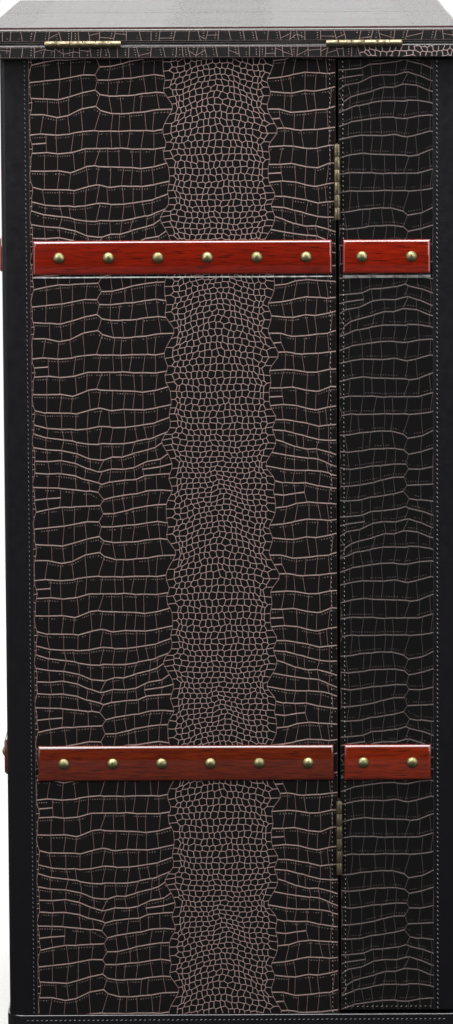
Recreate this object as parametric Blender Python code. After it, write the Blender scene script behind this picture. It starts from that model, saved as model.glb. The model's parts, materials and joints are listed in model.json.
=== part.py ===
"""Trunk-style bar cabinet with two deep doors and two top leaves that fold out.

Metres, +Z up. The front faces -Y, and the origin is on the floor below the middle of the
closed cabinet, hinges and knobs included. Left is -X, as seen from in front.
"""

import math

import bmesh
import bpy
from mathutils import Vector

# Clearances
touch = 0.0003
centre_gap = 0.0015
lid_rest_gap = 0.0008
overrun = 0.002

# Case, measured over its leather
case_width = 0.592
carcass_depth = 0.352
door_depth = 0.1295
case_height = 1.026
side_board = 0.016
flat_board = 0.016
back_board = 0.012
leather = 0.0012
corner_radius = 0.0055
corner_steps = 4
band_width = 0.030

# Top board and its two leaves
side_overhang = 0.014
back_overhang = 0.015
front_overhang = 0.0005
top_board_thickness = 0.0142
leaf_thickness = 0.0138
raised_panel_height = 0.002
raised_panel_margin = 0.004
raised_panel_centre_margin = 0.0006
board_edge = 0.001

# Plinth
plinth_height = 0.084
plinth_proud = 0.003
plinth_radius = 0.020
plinth_wall = 0.014
plinth_deck = 0.012

# Butt hinges
hinge_length = 0.080
hinge_plate = 0.00105
pin_radius = 0.0015
pin_clearance = 0.0003
knuckle_count = 6
knuckle_gap = 0.0004
round_sides = 10
door_barrel_radius = 0.0032
lid_barrel_radius = 0.0036
door_plate_width = 0.012
lid_plate_width = 0.024
upper_hinge_drop = 0.131
lower_hinge_rise = 0.1925
lid_hinge_inset = 0.103

# Wood slats and nails
slat_height = 0.036
lower_slat_height = 0.038
slat_proud = 0.005
slat_chamfer = 0.002
slat_inset = 0.003
slat_hinge_inset = 0.004
upper_slat_drop = 0.210
lower_slat_rise = 0.2745
nail_pitch = 0.052
nail_end_margin = 0.019
nail_radius = 0.0055
nail_height = 0.0038
nail_rim_share = 0.2
nail_shoulder_share = 0.72
nail_sides = 8

# Doors
door_bottom_gap = 0.004
door_panel_thickness = 0.014
door_frame_board = 0.014
door_shelf_thickness = 0.010
gallery_thickness = 0.008
gallery_height = 0.045
door_shelf_setback = 0.002
door_upper_shelf_height = 0.700
door_lower_shelf_height = 0.355
bottle_rail_height = 0.110
bottle_rail_radius = 0.004
bottle_rail_setback = 0.014
meeting_band_width = 0.025

# Knobs
knob_radius = 0.012
knob_neck_radius = 0.0055
knob_rose_radius = 0.011
knob_rose_height = 0.003
knob_neck_length = 0.009
knob_head_length = 0.012
knob_head_start_degrees = -60
knob_head_steps = 5
knob_sides = 14
knob_inset = 0.024
knob_rise = 0.552

# Inside the carcass
shelf_setback = 0.006
lower_shelf_height = 0.150
counter_shelf_height = 0.540
cradle_height = 0.056
cradle_rail = 0.014
cradle_margin = 0.012
bottle_notch_radius = 0.041
bottle_notch_drop = 0.008
bottle_count = 5
notch_sides = 16
rack_plate = 0.008
rack_stem_width = 0.012
rack_stem_height = 0.014
rack_flange_width = 0.100
rack_flange_thickness = 0.007
rack_pitch = 0.125
rack_count = 4
rack_front_setback = 0.030
rack_back_gap = 0.010
catch_width = 0.060
catch_depth = 0.020
catch_height = 0.012
catch_gap = 0.0005

# Heights that follow
door_gap = 2 * hinge_plate + 3 * touch
lid_gap = 2 * hinge_plate + 3 * touch
case_top = plinth_height + case_height
lid_axis_height = case_top + top_board_thickness + lid_gap / 2
leaf_bottom = case_top + top_board_thickness + lid_gap
leaf_top = leaf_bottom + leaf_thickness
overall_height = leaf_top + raised_panel_height
door_bottom = plinth_height + door_bottom_gap
door_top = 2 * lid_axis_height - overall_height - lid_rest_gap
upper_hinge_height = case_top - upper_hinge_drop
lower_hinge_height = plinth_height + lower_hinge_rise
upper_slat_centre = case_top - upper_slat_drop
lower_slat_centre = plinth_height + lower_slat_rise

# Places in plan that follow
half_width = case_width / 2
case_depth = carcass_depth + door_gap + door_depth
top_depth = back_overhang + case_depth + front_overhang
top_half_width = half_width + side_overhang
knob_length = knob_rose_height + knob_neck_length + knob_head_length
overall_depth = back_overhang + case_depth + knob_length
top_back = overall_depth / 2
case_back = top_back - back_overhang
carcass_front = case_back - carcass_depth
door_back = carcass_front - door_gap
door_front = door_back - door_depth
top_front = top_back - top_depth
skin = leather + touch
inner_half_width = half_width - skin - side_board
back_inner_face = case_back - skin - back_board
door_axis_x = half_width + door_barrel_radius
door_axis_y = (carcass_front + door_back) / 2
lid_axis_x = top_half_width + lid_barrel_radius
bottom_board_top = plinth_height + touch + flat_board


def clear_scene():
    for thing in list(bpy.data.objects):
        bpy.data.objects.remove(thing, do_unlink=True)


def finish(name, colour, roughness, metallic=0.0):
    made = bpy.data.materials.new(name)
    made.use_nodes = True
    shader = made.node_tree.nodes["Principled BSDF"]
    shader.inputs["Base Color"].default_value = (*colour, 1.0)
    shader.inputs["Roughness"].default_value = roughness
    shader.inputs["Metallic"].default_value = metallic
    return made


def make_body(name, place):
    """An empty on the body's joint axis, which carries the body's pieces."""
    empty = bpy.data.objects.new(name, None)
    empty.location = place
    bpy.context.scene.collection.objects.link(empty)
    return empty


def face_outwards(bm):
    bmesh.ops.recalc_face_normals(bm, faces=bm.faces)
    if bm.calc_volume(signed=True) < 0:
        bmesh.ops.reverse_faces(bm, faces=bm.faces)


def add_piece(name, bm, material, body, place, turn=(0.0, 0.0, 0.0), smooth=False):
    face_outwards(bm)
    mesh = bpy.data.meshes.new(name)
    bm.to_mesh(mesh)
    bm.free()
    own = material.copy()
    own.name = name + "_finish"
    mesh.materials.append(own)
    if smooth:
        mesh.shade_smooth()
        mesh.set_sharp_from_angle(angle=math.radians(40))
    piece = bpy.data.objects.new(name, mesh)
    piece.parent = body
    piece.location = Vector(place) - body.location
    piece.rotation_euler = turn
    bpy.context.scene.collection.objects.link(piece)
    return piece


def combine(piece, bm, operation):
    """Joins or cuts a piece with a closed mesh given in the piece's own axes."""
    face_outwards(bm)
    mesh = bpy.data.meshes.new(piece.name + "_tool")
    bm.to_mesh(mesh)
    bm.free()
    tool = bpy.data.objects.new(piece.name + "_tool", mesh)
    tool.parent = piece.parent
    tool.location = piece.location
    tool.rotation_euler = piece.rotation_euler
    tool.hide_render = True
    tool.display_type = "WIRE"
    bpy.context.scene.collection.objects.link(tool)
    boolean = piece.modifiers.new(operation.title(), "BOOLEAN")
    boolean.operation = operation
    boolean.object = tool


def add_box(bm, low, high):
    low, high = Vector(low), Vector(high)
    cube = bmesh.ops.create_cube(bm, size=1.0)["verts"]
    bmesh.ops.scale(bm, vec=high - low, verts=cube)
    bmesh.ops.translate(bm, vec=(low + high) / 2, verts=cube)


def add_board(name, low, high, material, body, edge=0.0):
    """A board between two corners, its origin in its middle, with its edges broken by edge."""
    low, high = Vector(low), Vector(high)
    bm = bmesh.new()
    add_box(bm, (low - high) / 2, (high - low) / 2)
    piece = add_piece(name, bm, material, body, (low + high) / 2)
    if edge:
        bevel = piece.modifiers.new("Broken edges", "BEVEL")
        bevel.width = edge
        bevel.segments = 1
    return piece


def add_prism(bm, outline, low, high):
    """A closed outline in X and Y, raised from height low to height high."""
    face = bm.faces.new([bm.verts.new((x, y, low)) for x, y in outline])
    raised = bmesh.ops.extrude_face_region(bm, geom=[face])["geom"]
    verts = [part for part in raised if isinstance(part, bmesh.types.BMVert)]
    bmesh.ops.translate(bm, vec=(0.0, 0.0, high - low), verts=verts)


def add_lathe(bm, profile, sides, closed=False):
    """Turns (radius, height) points round Z. The ends close on the axis, or the profile on itself."""
    rings = []
    for radius, height in profile:
        if radius == 0:
            rings.append([bm.verts.new((0.0, 0.0, height))])
            continue
        angles = [math.tau * k / sides for k in range(sides)]
        rings.append([bm.verts.new((radius * math.cos(a), radius * math.sin(a), height)) for a in angles])
    pairs = list(zip(rings, rings[1:]))
    if closed:
        pairs.append((rings[-1], rings[0]))
    for one, other in pairs:
        for k in range(sides):
            corners = [one[k % len(one)], one[(k + 1) % len(one)]]
            corners += [other[(k + 1) % len(other)], other[k % len(other)]]
            bm.faces.new(list(dict.fromkeys(corners)))


def arc(centre, radius, start, end, steps):
    angles = [math.radians(start + (end - start) * k / steps) for k in range(steps + 1)]
    return [(centre[0] + radius * math.cos(a), centre[1] + radius * math.sin(a)) for a in angles]


def rounded_rectangle(half_x, back, front, radius, steps):
    corners = ((half_x - radius, back - radius, 0), (radius - half_x, back - radius, 90))
    corners += ((radius - half_x, front + radius, 180), (half_x - radius, front + radius, 270))
    return [p for x, y, start in corners for p in arc((x, y), radius, start, start + 90, steps)]


def loop_at(bm, outline, height):
    return [bm.verts.new((x, y, height)) for x, y in outline]


def bridge(bm, one, other):
    for k in range(len(one)):
        after = (k + 1) % len(one)
        bm.faces.new((one[k], one[after], other[after], other[k]))


def ring_mesh(outer, inner, low, high):
    """A frame between two outlines with as many points each, open above and below."""
    bm = bmesh.new()
    outer_low, outer_high = loop_at(bm, outer, low), loop_at(bm, outer, high)
    inner_low, inner_high = loop_at(bm, inner, low), loop_at(bm, inner, high)
    bridge(bm, outer_low, outer_high)
    bridge(bm, outer_high, inner_high)
    bridge(bm, inner_high, inner_low)
    bridge(bm, inner_low, outer_low)
    return bm


def tray_mesh(outer, inner, rim, floor, closed_end):
    """A ring that is open at the rim and closed between floor and closed_end."""
    bm = bmesh.new()
    outer_rim, outer_end = loop_at(bm, outer, rim), loop_at(bm, outer, closed_end)
    inner_rim, inner_floor = loop_at(bm, inner, rim), loop_at(bm, inner, floor)
    bridge(bm, outer_rim, outer_end)
    bridge(bm, outer_rim, inner_rim)
    bridge(bm, inner_rim, inner_floor)
    bm.faces.new(outer_end)
    bm.faces.new(inner_floor)
    return bm


def mirrored(side, *values):
    """Values along X on one side of the cabinet, lowest first."""
    return sorted(side * value for value in values)


def outward_face(outward):
    return case_back if outward > 0 else door_front


def case_corner(side, outward, depth):
    """Points round an upright corner of the case, this deep under its surface, from side to face."""
    centre = (side * (half_width - corner_radius), outward_face(outward) - outward * corner_radius)
    start, end = (0 if side > 0 else 180, 90 if outward > 0 else -90)
    if side < 0 and outward < 0:
        end = 270
    return arc(centre, corner_radius - depth, start, end, corner_steps)


# Sub-parts of the carcass


def make_plinth(body, material):
    outer_half = half_width + plinth_proud
    back, front = case_back + plinth_proud, door_front - plinth_proud
    outer = rounded_rectangle(outer_half, back, front, plinth_radius, corner_steps)
    inner_half = outer_half - plinth_wall
    inner_radius = plinth_radius - plinth_wall
    inner = rounded_rectangle(inner_half, back - plinth_wall, front + plinth_wall, inner_radius, corner_steps)
    bm = tray_mesh(outer, inner, 0.0, plinth_height - plinth_deck, plinth_height)
    add_piece("plinth", bm, material, body, (0.0, 0.0, 0.0))


def make_carcass(body, wood):
    low, high = plinth_height + touch, case_top - touch
    outer = half_width - skin
    for side, word in ((-1, "left"), (1, "right")):
        outline = [(side * inner_half_width, carcass_front), (side * outer, carcass_front)]
        outline += case_corner(side, 1, skin)
        outline.append((side * inner_half_width, case_back - skin))
        bm = bmesh.new()
        add_prism(bm, outline, low, high)
        add_piece(word + "_side_panel", bm, wood, body, (0.0, 0.0, 0.0))
    reach = inner_half_width - touch
    add_board("back_panel", (-reach, back_inner_face, low), (reach, case_back - skin, high), wood, body)
    back = back_inner_face - touch
    add_board("bottom_board", (-reach, carcass_front, low), (reach, back, bottom_board_top), wood, body)
    for name, height in (("lower_shelf", lower_shelf_height), ("counter_shelf", counter_shelf_height)):
        base = bottom_board_top + height
        front = carcass_front + shelf_setback
        add_board(name, (-reach, front, base), (reach, back, base + flat_board), wood, body)


def make_top_board(body, leather_finish):
    low = (-top_half_width, top_front, case_top)
    high = (top_half_width, top_back, case_top + top_board_thickness)
    add_board("top_board", low, high, leather_finish, body, board_edge)


def make_corner_band(name, side, outward, low, high, body, material):
    """A leather strip folded round an upright corner, a touch off the boards behind it."""
    face = outward_face(outward)
    end_x = side * (half_width - band_width)
    end_y = face - outward * band_width
    outline = case_corner(side, outward, 0.0)
    outline += [(end_x, face), (end_x, face - outward * leather)]
    outline += reversed(case_corner(side, outward, leather))
    outline += [(side * (half_width - leather), end_y), (side * half_width, end_y)]
    bm = bmesh.new()
    add_prism(bm, outline, low, high)
    add_piece(name, bm, material, body, (0.0, 0.0, 0.0))


def add_nails(bm, length, thickness):
    """A row of domed heads along the slat's middle, each sunk a little into the wood."""
    count = 1 + max(0, int((length - 2 * nail_end_margin) / nail_pitch))
    for k in range(count):
        dome = bmesh.new()
        profile = [(0.0, -overrun), (nail_radius, -overrun), (nail_radius, nail_height * nail_rim_share)]
        profile += [(nail_radius * nail_shoulder_share, nail_height * nail_shoulder_share), (0.0, nail_height)]
        add_lathe(dome, profile, nail_sides)
        offset = (k - (count - 1) / 2) * nail_pitch
        bmesh.ops.translate(dome, vec=(offset, 0.0, thickness), verts=dome.verts)
        mesh = bpy.data.meshes.new("nail")
        dome.to_mesh(mesh)
        dome.free()
        bm.from_mesh(mesh)
        bpy.data.meshes.remove(mesh)


def make_slat(name, start, end, height, place, turn, body, wood):
    """A wood slat lying along its face from start to end, bevelled all round, with its nails."""
    length = end - start
    half_length, half_height = length / 2, height / 2
    thickness = slat_proud + leather
    bm = bmesh.new()
    loops = []
    for inset, level in ((0.0, 0.0), (0.0, thickness - slat_chamfer), (slat_chamfer, thickness)):
        x, y = half_length - inset, half_height - inset
        loops.append(loop_at(bm, ((-x, -y), (x, -y), (x, y), (-x, y)), level))
    bm.faces.new(loops[0])
    bm.faces.new(loops[-1])
    bridge(bm, loops[0], loops[1])
    bridge(bm, loops[1], loops[2])
    piece = add_piece(name, bm, wood, body, place, turn)
    nails = bmesh.new()
    add_nails(nails, length, thickness)
    combine(piece, nails, "UNION")


side_turn = {-1: (math.pi / 2, 0.0, -math.pi / 2), 1: (math.pi / 2, 0.0, math.pi / 2)}
front_turn = (math.pi / 2, 0.0, 0.0)
back_turn = (math.pi / 2, 0.0, math.pi)
slat_rows = (("upper", upper_slat_centre, slat_height), ("lower", lower_slat_centre, lower_slat_height))


def make_side_slats(prefix, side, front, back, body, wood):
    """Slats on a side face, between two places along Y."""
    face = side * (half_width - leather)
    for row, centre, height in slat_rows:
        place = (face, (front + back) / 2, centre)
        make_slat(f"{prefix}_{row}_side_slat", front, back, height, place, side_turn[side], body, wood)


def make_carcass_slats(body, wood):
    for side, word in ((-1, "left"), (1, "right")):
        front = carcass_front + slat_hinge_inset
        back = case_back - band_width - slat_inset
        make_side_slats(word, side, front, back, body, wood)
    reach = half_width - band_width - slat_inset
    for row, centre, height in slat_rows:
        place = (0.0, case_back - leather, centre)
        make_slat(f"{row}_back_slat", -reach, reach, height, place, back_turn, body, wood)


def make_wine_cradle(body, wood):
    """A frame whose front and back rails are notched for lying bottles."""
    reach = inner_half_width - cradle_margin
    back = back_inner_face - cradle_margin
    front = carcass_front + cradle_margin
    outer = ((reach, back), (-reach, back), (-reach, front), (reach, front))
    inner_reach = reach - cradle_rail
    inner = ((inner_reach, back - cradle_rail), (-inner_reach, back - cradle_rail))
    inner += ((-inner_reach, front + cradle_rail), (inner_reach, front + cradle_rail))
    low = bottom_board_top + touch
    piece = add_piece("wine_cradle", ring_mesh(outer, inner, low, low + cradle_height), wood, body, (0, 0, 0))
    notches = bmesh.new()
    pitch = 2 * inner_reach / bottle_count
    half_span = (back - front) / 2 + overrun
    for k in range(bottle_count):
        offset = (k - (bottle_count - 1) / 2) * pitch
        bore = bmesh.new()
        radius = bottle_notch_radius
        profile = [(0.0, -half_span), (radius, -half_span), (radius, half_span), (0.0, half_span)]
        add_lathe(bore, profile, notch_sides)
        for vert in bore.verts:
            x, y, z = vert.co
            vert.co = (offset + x, (front + back) / 2 + z, low + cradle_height + bottle_notch_drop + y)
        mesh = bpy.data.meshes.new("notch")
        face_outwards(bore)
        bore.to_mesh(mesh)
        bore.free()
        notches.from_mesh(mesh)
        bpy.data.meshes.remove(mesh)
    combine(piece, notches, "DIFFERENCE")


def make_stemware_rack(body, wood):
    """T rails under a plate, milled in one length: glasses hang by the foot between them."""
    half_plate = (rack_count - 1) * rack_pitch / 2 + rack_flange_width / 2
    stem_foot = -rack_plate - rack_stem_height
    flange_foot = stem_foot - rack_flange_thickness
    outline = [(-half_plate, 0.0), (-half_plate, -rack_plate)]
    for k in range(rack_count):
        middle = (k - (rack_count - 1) / 2) * rack_pitch
        stem, flange = rack_stem_width / 2, rack_flange_width / 2
        outline += [(middle - stem, -rack_plate), (middle - stem, stem_foot), (middle - flange, stem_foot)]
        outline += [(middle - flange, flange_foot), (middle + flange, flange_foot)]
        outline += [(middle + flange, stem_foot), (middle + stem, stem_foot), (middle + stem, -rack_plate)]
    outline += [(half_plate, -rack_plate), (half_plate, 0.0)]
    front = carcass_front + rack_front_setback
    back = back_inner_face - rack_back_gap
    bm = bmesh.new()
    add_prism(bm, outline, 0.0, back - front)
    add_piece("stemware_rack", bm, wood, body, (0.0, back, case_top - touch), front_turn)


def make_door_catch(body, brass):
    """A double magnetic catch under the top board, just clear of both closed doors."""
    front = door_back + catch_gap
    low = (-catch_width / 2, front, case_top - touch - catch_height)
    high = (catch_width / 2, front + catch_depth, case_top - touch)
    add_board("door_catch", low, high, brass, body)


# Hinges


def comb_outline(inward, start, width, length, teeth, tooth_end):
    """A hinge leaf seen flat: a plate along the barrel with a tooth into each of its own knuckles."""
    pitch = length / knuckle_count
    near, far = inward * start, inward * (start + width)
    points = [(far, length / 2), (far, -length / 2)]
    for k in range(knuckle_count):
        low = -length / 2 + k * pitch
        if k in teeth:
            foot, head = low + knuckle_gap / 2, low + pitch - knuckle_gap / 2
            points += [(near, foot), (inward * tooth_end, foot), (inward * tooth_end, head), (near, head)]
    if points[2][1] > -length / 2 + knuckle_gap:
        points.insert(2, (near, -length / 2))
    if points[-1][1] < length / 2 - knuckle_gap:
        points.append((near, length / 2))
    return points


def hinge_leaf(name, inward, layer, fixed, barrel, plate_width, place, turn, body, brass):
    """One leaf of a butt hinge about local Z. The fixed leaf's knuckles hold the pin."""
    length = hinge_length
    pitch = length / knuckle_count
    teeth = range(0, knuckle_count, 2) if fixed else range(1, knuckle_count, 2)
    bore = pin_radius + pin_clearance
    tooth_end = pin_radius / 2 if fixed else (bore + barrel) / 2
    outline = comb_outline(inward, barrel + 2 * touch, plate_width, length, teeth, tooth_end)
    near, far = sorted((layer * touch / 2, layer * (touch / 2 + hinge_plate)))
    plate = bmesh.new()
    add_prism(plate, outline, near, far)
    for vert in plate.verts:
        x, z, y = vert.co
        vert.co = (x, y, z)
    piece = add_piece(name, plate, brass, body, place, turn, smooth=True)
    barrels = bmesh.new()
    if fixed:
        profile = [(0.0, -length / 2 + knuckle_gap / 2)]
        for k in teeth:
            low = -length / 2 + k * pitch + knuckle_gap / 2
            high = low + pitch - knuckle_gap
            if k:
                profile.append((pin_radius, low))
            profile += [(barrel, low), (barrel, high), (pin_radius, high)]
        profile += [(pin_radius, length / 2 - knuckle_gap / 2), (0.0, length / 2 - knuckle_gap / 2)]
        add_lathe(barrels, profile, round_sides)
    else:
        for k in teeth:
            low = -length / 2 + k * pitch + knuckle_gap / 2
            high = low + pitch - knuckle_gap
            add_lathe(barrels, [(barrel, low), (barrel, high), (bore, high), (bore, low)], round_sides, True)
    combine(piece, barrels, "UNION")


def make_door_hinges(side, word, cabinet, door, brass):
    for row, height in (("upper", upper_hinge_height), ("lower", lower_hinge_height)):
        place = (side * door_axis_x, door_axis_y, height)
        for fixed, kind, body in ((True, "fixed", cabinet), (False, "moving", door)):
            layer = 1 if fixed else -1
            name = f"{word}_door_{row}_{kind}_hinge"
            hinge_leaf(name, -side, layer, fixed, door_barrel_radius, door_plate_width, place,
                       (0.0, 0.0, 0.0), body, brass)


def make_lid_hinges(side, word, cabinet, leaf, brass):
    for row, middle in (("back", top_back - lid_hinge_inset), ("front", top_front + lid_hinge_inset)):
        place = (side * lid_axis_x, middle, lid_axis_height)
        for fixed, kind, body in ((True, "fixed", cabinet), (False, "moving", leaf)):
            layer = 1 if fixed else -1
            name = f"{word}_lid_{row}_{kind}_hinge"
            hinge_leaf(name, -side, layer, fixed, lid_barrel_radius, lid_plate_width, place,
                       (-math.pi / 2, 0.0, 0.0), body, brass)


# Doors and leaves


def make_knob(name, place, turn, body, brass):
    """A turned knob on a flat rose, its foot let into the leather."""
    rose_end = leather + knob_rose_height
    neck_end = rose_end + knob_neck_length
    profile = [(0.0, 0.0), (knob_rose_radius, 0.0), (knob_rose_radius, rose_end)]
    profile += [(knob_neck_radius, rose_end), (knob_neck_radius, neck_end)]
    start = math.radians(knob_head_start_degrees)
    for k in range(knob_head_steps):
        angle = start + (math.pi / 2 - start) * k / knob_head_steps
        rise = (math.sin(angle) - math.sin(start)) / (1 - math.sin(start))
        profile.append((knob_radius * math.cos(angle), neck_end + knob_head_length * rise))
    profile.append((0.0, neck_end + knob_head_length))
    bm = bmesh.new()
    add_lathe(bm, profile, knob_sides)
    add_piece(name, bm, brass, body, place, turn, smooth=True)


def make_door(side, word, body, leather_finish, wood, band, brass):
    outer = half_width - skin
    back_of_panel = door_front + skin + door_panel_thickness
    outline = [(side * centre_gap / 2, back_of_panel), (side * outer, back_of_panel)]
    outline += case_corner(side, -1, skin)
    outline.append((side * centre_gap / 2, door_front + skin))
    bm = bmesh.new()
    add_prism(bm, outline, door_bottom, door_top)
    add_piece(word + "_door_panel", bm, leather_finish, body, (0.0, 0.0, 0.0))

    near, far = mirrored(side, centre_gap / 2, outer)
    ring = ((near, door_bottom), (far, door_bottom), (far, door_top), (near, door_top))
    board = door_frame_board
    hole = ((near + board, door_bottom + board), (far - board, door_bottom + board))
    hole += ((far - board, door_top - board), (near + board, door_top - board))
    front = back_of_panel + touch
    bm = ring_mesh(ring, hole, 0.0, door_back - front)
    add_piece(word + "_door_frame", bm, wood, body, (0.0, door_back, 0.0), front_turn)

    low_x, high_x = near + board + touch, far - board - touch
    inside_back = door_back - door_shelf_setback
    for row, height in (("upper", door_upper_shelf_height), ("lower", door_lower_shelf_height)):
        base = door_bottom + height
        bm = bmesh.new()
        section = [(front + touch, 0.0), (inside_back, 0.0), (inside_back, gallery_height)]
        section += [(inside_back - gallery_thickness, gallery_height)]
        section += [(inside_back - gallery_thickness, door_shelf_thickness)]
        section += [(front + touch, door_shelf_thickness)]
        add_prism(bm, section, low_x, high_x)
        for vert in bm.verts:
            y, z, x = vert.co
            vert.co = (x, y, z)
        add_piece(f"{word}_door_{row}_shelf", bm, wood, body, (0.0, 0.0, base))

    length = high_x - low_x
    profile = [(0.0, 0.0), (bottle_rail_radius, 0.0), (bottle_rail_radius, length), (0.0, length)]
    bm = bmesh.new()
    add_lathe(bm, profile, round_sides)
    place = (low_x, door_back - bottle_rail_setback, door_bottom + board + bottle_rail_height)
    add_piece(word + "_door_bottle_rail", bm, brass, body, place, (0.0, math.pi / 2, 0.0), smooth=True)

    make_corner_band(word + "_door_corner_band", side, -1, door_bottom, door_top, body, band)
    slat_back = door_back - slat_hinge_inset
    slat_front = door_front + band_width + slat_inset
    make_side_slats(word + "_door", side, slat_front, slat_back, body, wood)
    inner_end = centre_gap / 2 + meeting_band_width + slat_inset
    start, end = mirrored(side, inner_end, half_width - band_width - slat_inset)
    for row, centre, height in slat_rows:
        place = ((start + end) / 2, door_front + leather, centre)
        make_slat(f"{word}_door_{row}_front_slat", start, end, height, place, front_turn, body, wood)
    place = (side * (centre_gap / 2 + knob_inset), door_front + leather, door_bottom + knob_rise)
    make_knob(word + "_door_knob", place, front_turn, body, brass)


def make_leaf(side, word, body, leather_finish):
    """Half of the folding top: a board with a raised panel inside its outer edges."""
    margin = raised_panel_margin
    low_x, high_x = mirrored(side, centre_gap / 2, top_half_width)
    inner_low, inner_high = mirrored(side, centre_gap / 2 + raised_panel_centre_margin, top_half_width - margin)
    edge = ((low_x, top_front), (high_x, top_front), (high_x, top_back), (low_x, top_back))
    panel = ((inner_low, top_front + margin), (inner_high, top_front + margin))
    panel += ((inner_high, top_back - margin), (inner_low, top_back - margin))
    bm = bmesh.new()
    loops = [loop_at(bm, edge, leaf_bottom), loop_at(bm, edge, leaf_top)]
    loops += [loop_at(bm, panel, leaf_top), loop_at(bm, panel, overall_height)]
    bm.faces.new(loops[0])
    bm.faces.new(loops[-1])
    for one, other in zip(loops, loops[1:]):
        bridge(bm, one, other)
    add_piece(word + "_leaf_board", bm, leather_finish, body, (0.0, 0.0, 0.0))


def main():
    clear_scene()
    croc = finish("embossed leather", (0.02, 0.018, 0.018), 0.35)
    band = finish("smooth leather", (0.012, 0.012, 0.013), 0.45)
    wood = finish("lacquered wood", (0.22, 0.03, 0.01), 0.25)
    brass = finish("antique brass", (0.45, 0.33, 0.16), 0.3, 1.0)

    cabinet = make_body("cabinet", (0.0, 0.0, 0.0))
    make_plinth(cabinet, band)
    make_carcass(cabinet, wood)
    make_top_board(cabinet, croc)
    make_carcass_slats(cabinet, wood)
    make_wine_cradle(cabinet, wood)
    make_stemware_rack(cabinet, wood)
    make_door_catch(cabinet, brass)
    for side, word in ((-1, "left"), (1, "right")):
        door = make_body(word + "_door", (side * door_axis_x, door_axis_y, door_bottom))
        leaf = make_body(word + "_leaf", (side * lid_axis_x, (top_front + top_back) / 2, lid_axis_height))
        band_low, band_high = plinth_height + touch, case_top - touch
        make_corner_band(word + "_corner_band", side, 1, band_low, band_high, cabinet, band)
        make_door(side, word, door, croc, wood, band, brass)
        make_leaf(side, word, leaf, croc)
        make_door_hinges(side, word, cabinet, door, brass)
        make_lid_hinges(side, word, cabinet, leaf, brass)


main()
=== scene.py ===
import json
import math
import random

import bpy
import numpy as np
from mathutils import Matrix, Vector

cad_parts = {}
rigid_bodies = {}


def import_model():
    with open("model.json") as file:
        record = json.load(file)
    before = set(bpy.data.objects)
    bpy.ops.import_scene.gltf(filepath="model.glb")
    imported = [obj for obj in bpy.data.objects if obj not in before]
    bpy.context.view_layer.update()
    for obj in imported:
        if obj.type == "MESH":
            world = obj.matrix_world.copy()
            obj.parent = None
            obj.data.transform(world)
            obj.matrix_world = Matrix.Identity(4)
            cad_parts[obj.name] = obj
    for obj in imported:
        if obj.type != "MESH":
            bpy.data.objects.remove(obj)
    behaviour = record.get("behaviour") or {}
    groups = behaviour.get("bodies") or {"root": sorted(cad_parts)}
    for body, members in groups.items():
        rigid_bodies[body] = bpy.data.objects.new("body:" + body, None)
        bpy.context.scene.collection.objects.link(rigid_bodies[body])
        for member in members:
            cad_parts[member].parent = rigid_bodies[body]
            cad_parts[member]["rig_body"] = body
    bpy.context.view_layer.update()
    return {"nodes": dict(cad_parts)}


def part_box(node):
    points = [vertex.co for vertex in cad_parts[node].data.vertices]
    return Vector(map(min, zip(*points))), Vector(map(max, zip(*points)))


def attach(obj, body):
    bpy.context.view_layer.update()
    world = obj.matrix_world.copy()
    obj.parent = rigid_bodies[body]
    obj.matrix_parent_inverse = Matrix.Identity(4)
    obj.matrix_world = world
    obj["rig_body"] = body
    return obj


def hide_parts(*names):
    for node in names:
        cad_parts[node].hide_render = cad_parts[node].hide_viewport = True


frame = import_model()
nodes = frame["nodes"]


# Plinth
# The cabinet stands on a plinth box wrapped in smooth black leather. A thin piping cord,
# covered in the same leather, runs round its top edge, where the wrap is turned over.

def linear(hex_colour):
    """A hex sRGB colour as linear red, green, blue and alpha."""
    parts = [int(hex_colour[k:k + 2], 16) / 255 for k in (1, 3, 5)]
    return tuple(c / 12.92 if c <= 0.04045 else ((c + 0.055) / 1.055) ** 2.4 for c in parts) + (1.0,)


def link(node, links):
    """Links inputs of a node, each to an output or to the first open output of another node."""
    for name, source in links.items():
        if isinstance(source, bpy.types.Node):
            source = next(output for output in source.outputs if output.enabled)
        node.id_data.links.new(source, node.inputs[name])


def add_node(tree, kind, settings=None):
    """Adds a node with its settings: properties, values of inputs, and what is linked to them."""
    node = tree.nodes.new("ShaderNode" + kind)
    for name, value in (settings or {}).items():
        if isinstance(value, (bpy.types.Node, bpy.types.NodeSocket)):
            link(node, {name: value})
        elif isinstance(name, str) and hasattr(node, name):
            setattr(node, name, value)
        else:
            node.inputs[name].default_value = value
    return node


def new_material(name, settings):
    """A material with one Principled shader; returns it with its tree and the shader."""
    material = bpy.data.materials.new(name)
    material.use_nodes = True
    tree = material.node_tree
    shader = tree.nodes["Principled BSDF"]
    for key, value in settings.items():
        shader.inputs[key].default_value = value
    return material, tree, shader


def wear(obj, material):
    """Gives the whole piece one material."""
    obj.data.materials.clear()
    obj.data.materials.append(material)


def settle(obj, name, material, body):
    """Names a finished piece, gives it its finish and lets it ride on its body."""
    obj.name = name
    obj.data.name = name
    wear(obj, material)
    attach(obj, body)
    return obj


def deselect():
    bpy.ops.object.select_all(action="DESELECT")


def open_all():
    """Opens the active piece in edit mode with all of it selected."""
    bpy.ops.object.mode_set(mode="EDIT")
    bpy.ops.mesh.select_all(action="SELECT")


def close_edit():
    bpy.ops.object.mode_set(mode="OBJECT")


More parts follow.
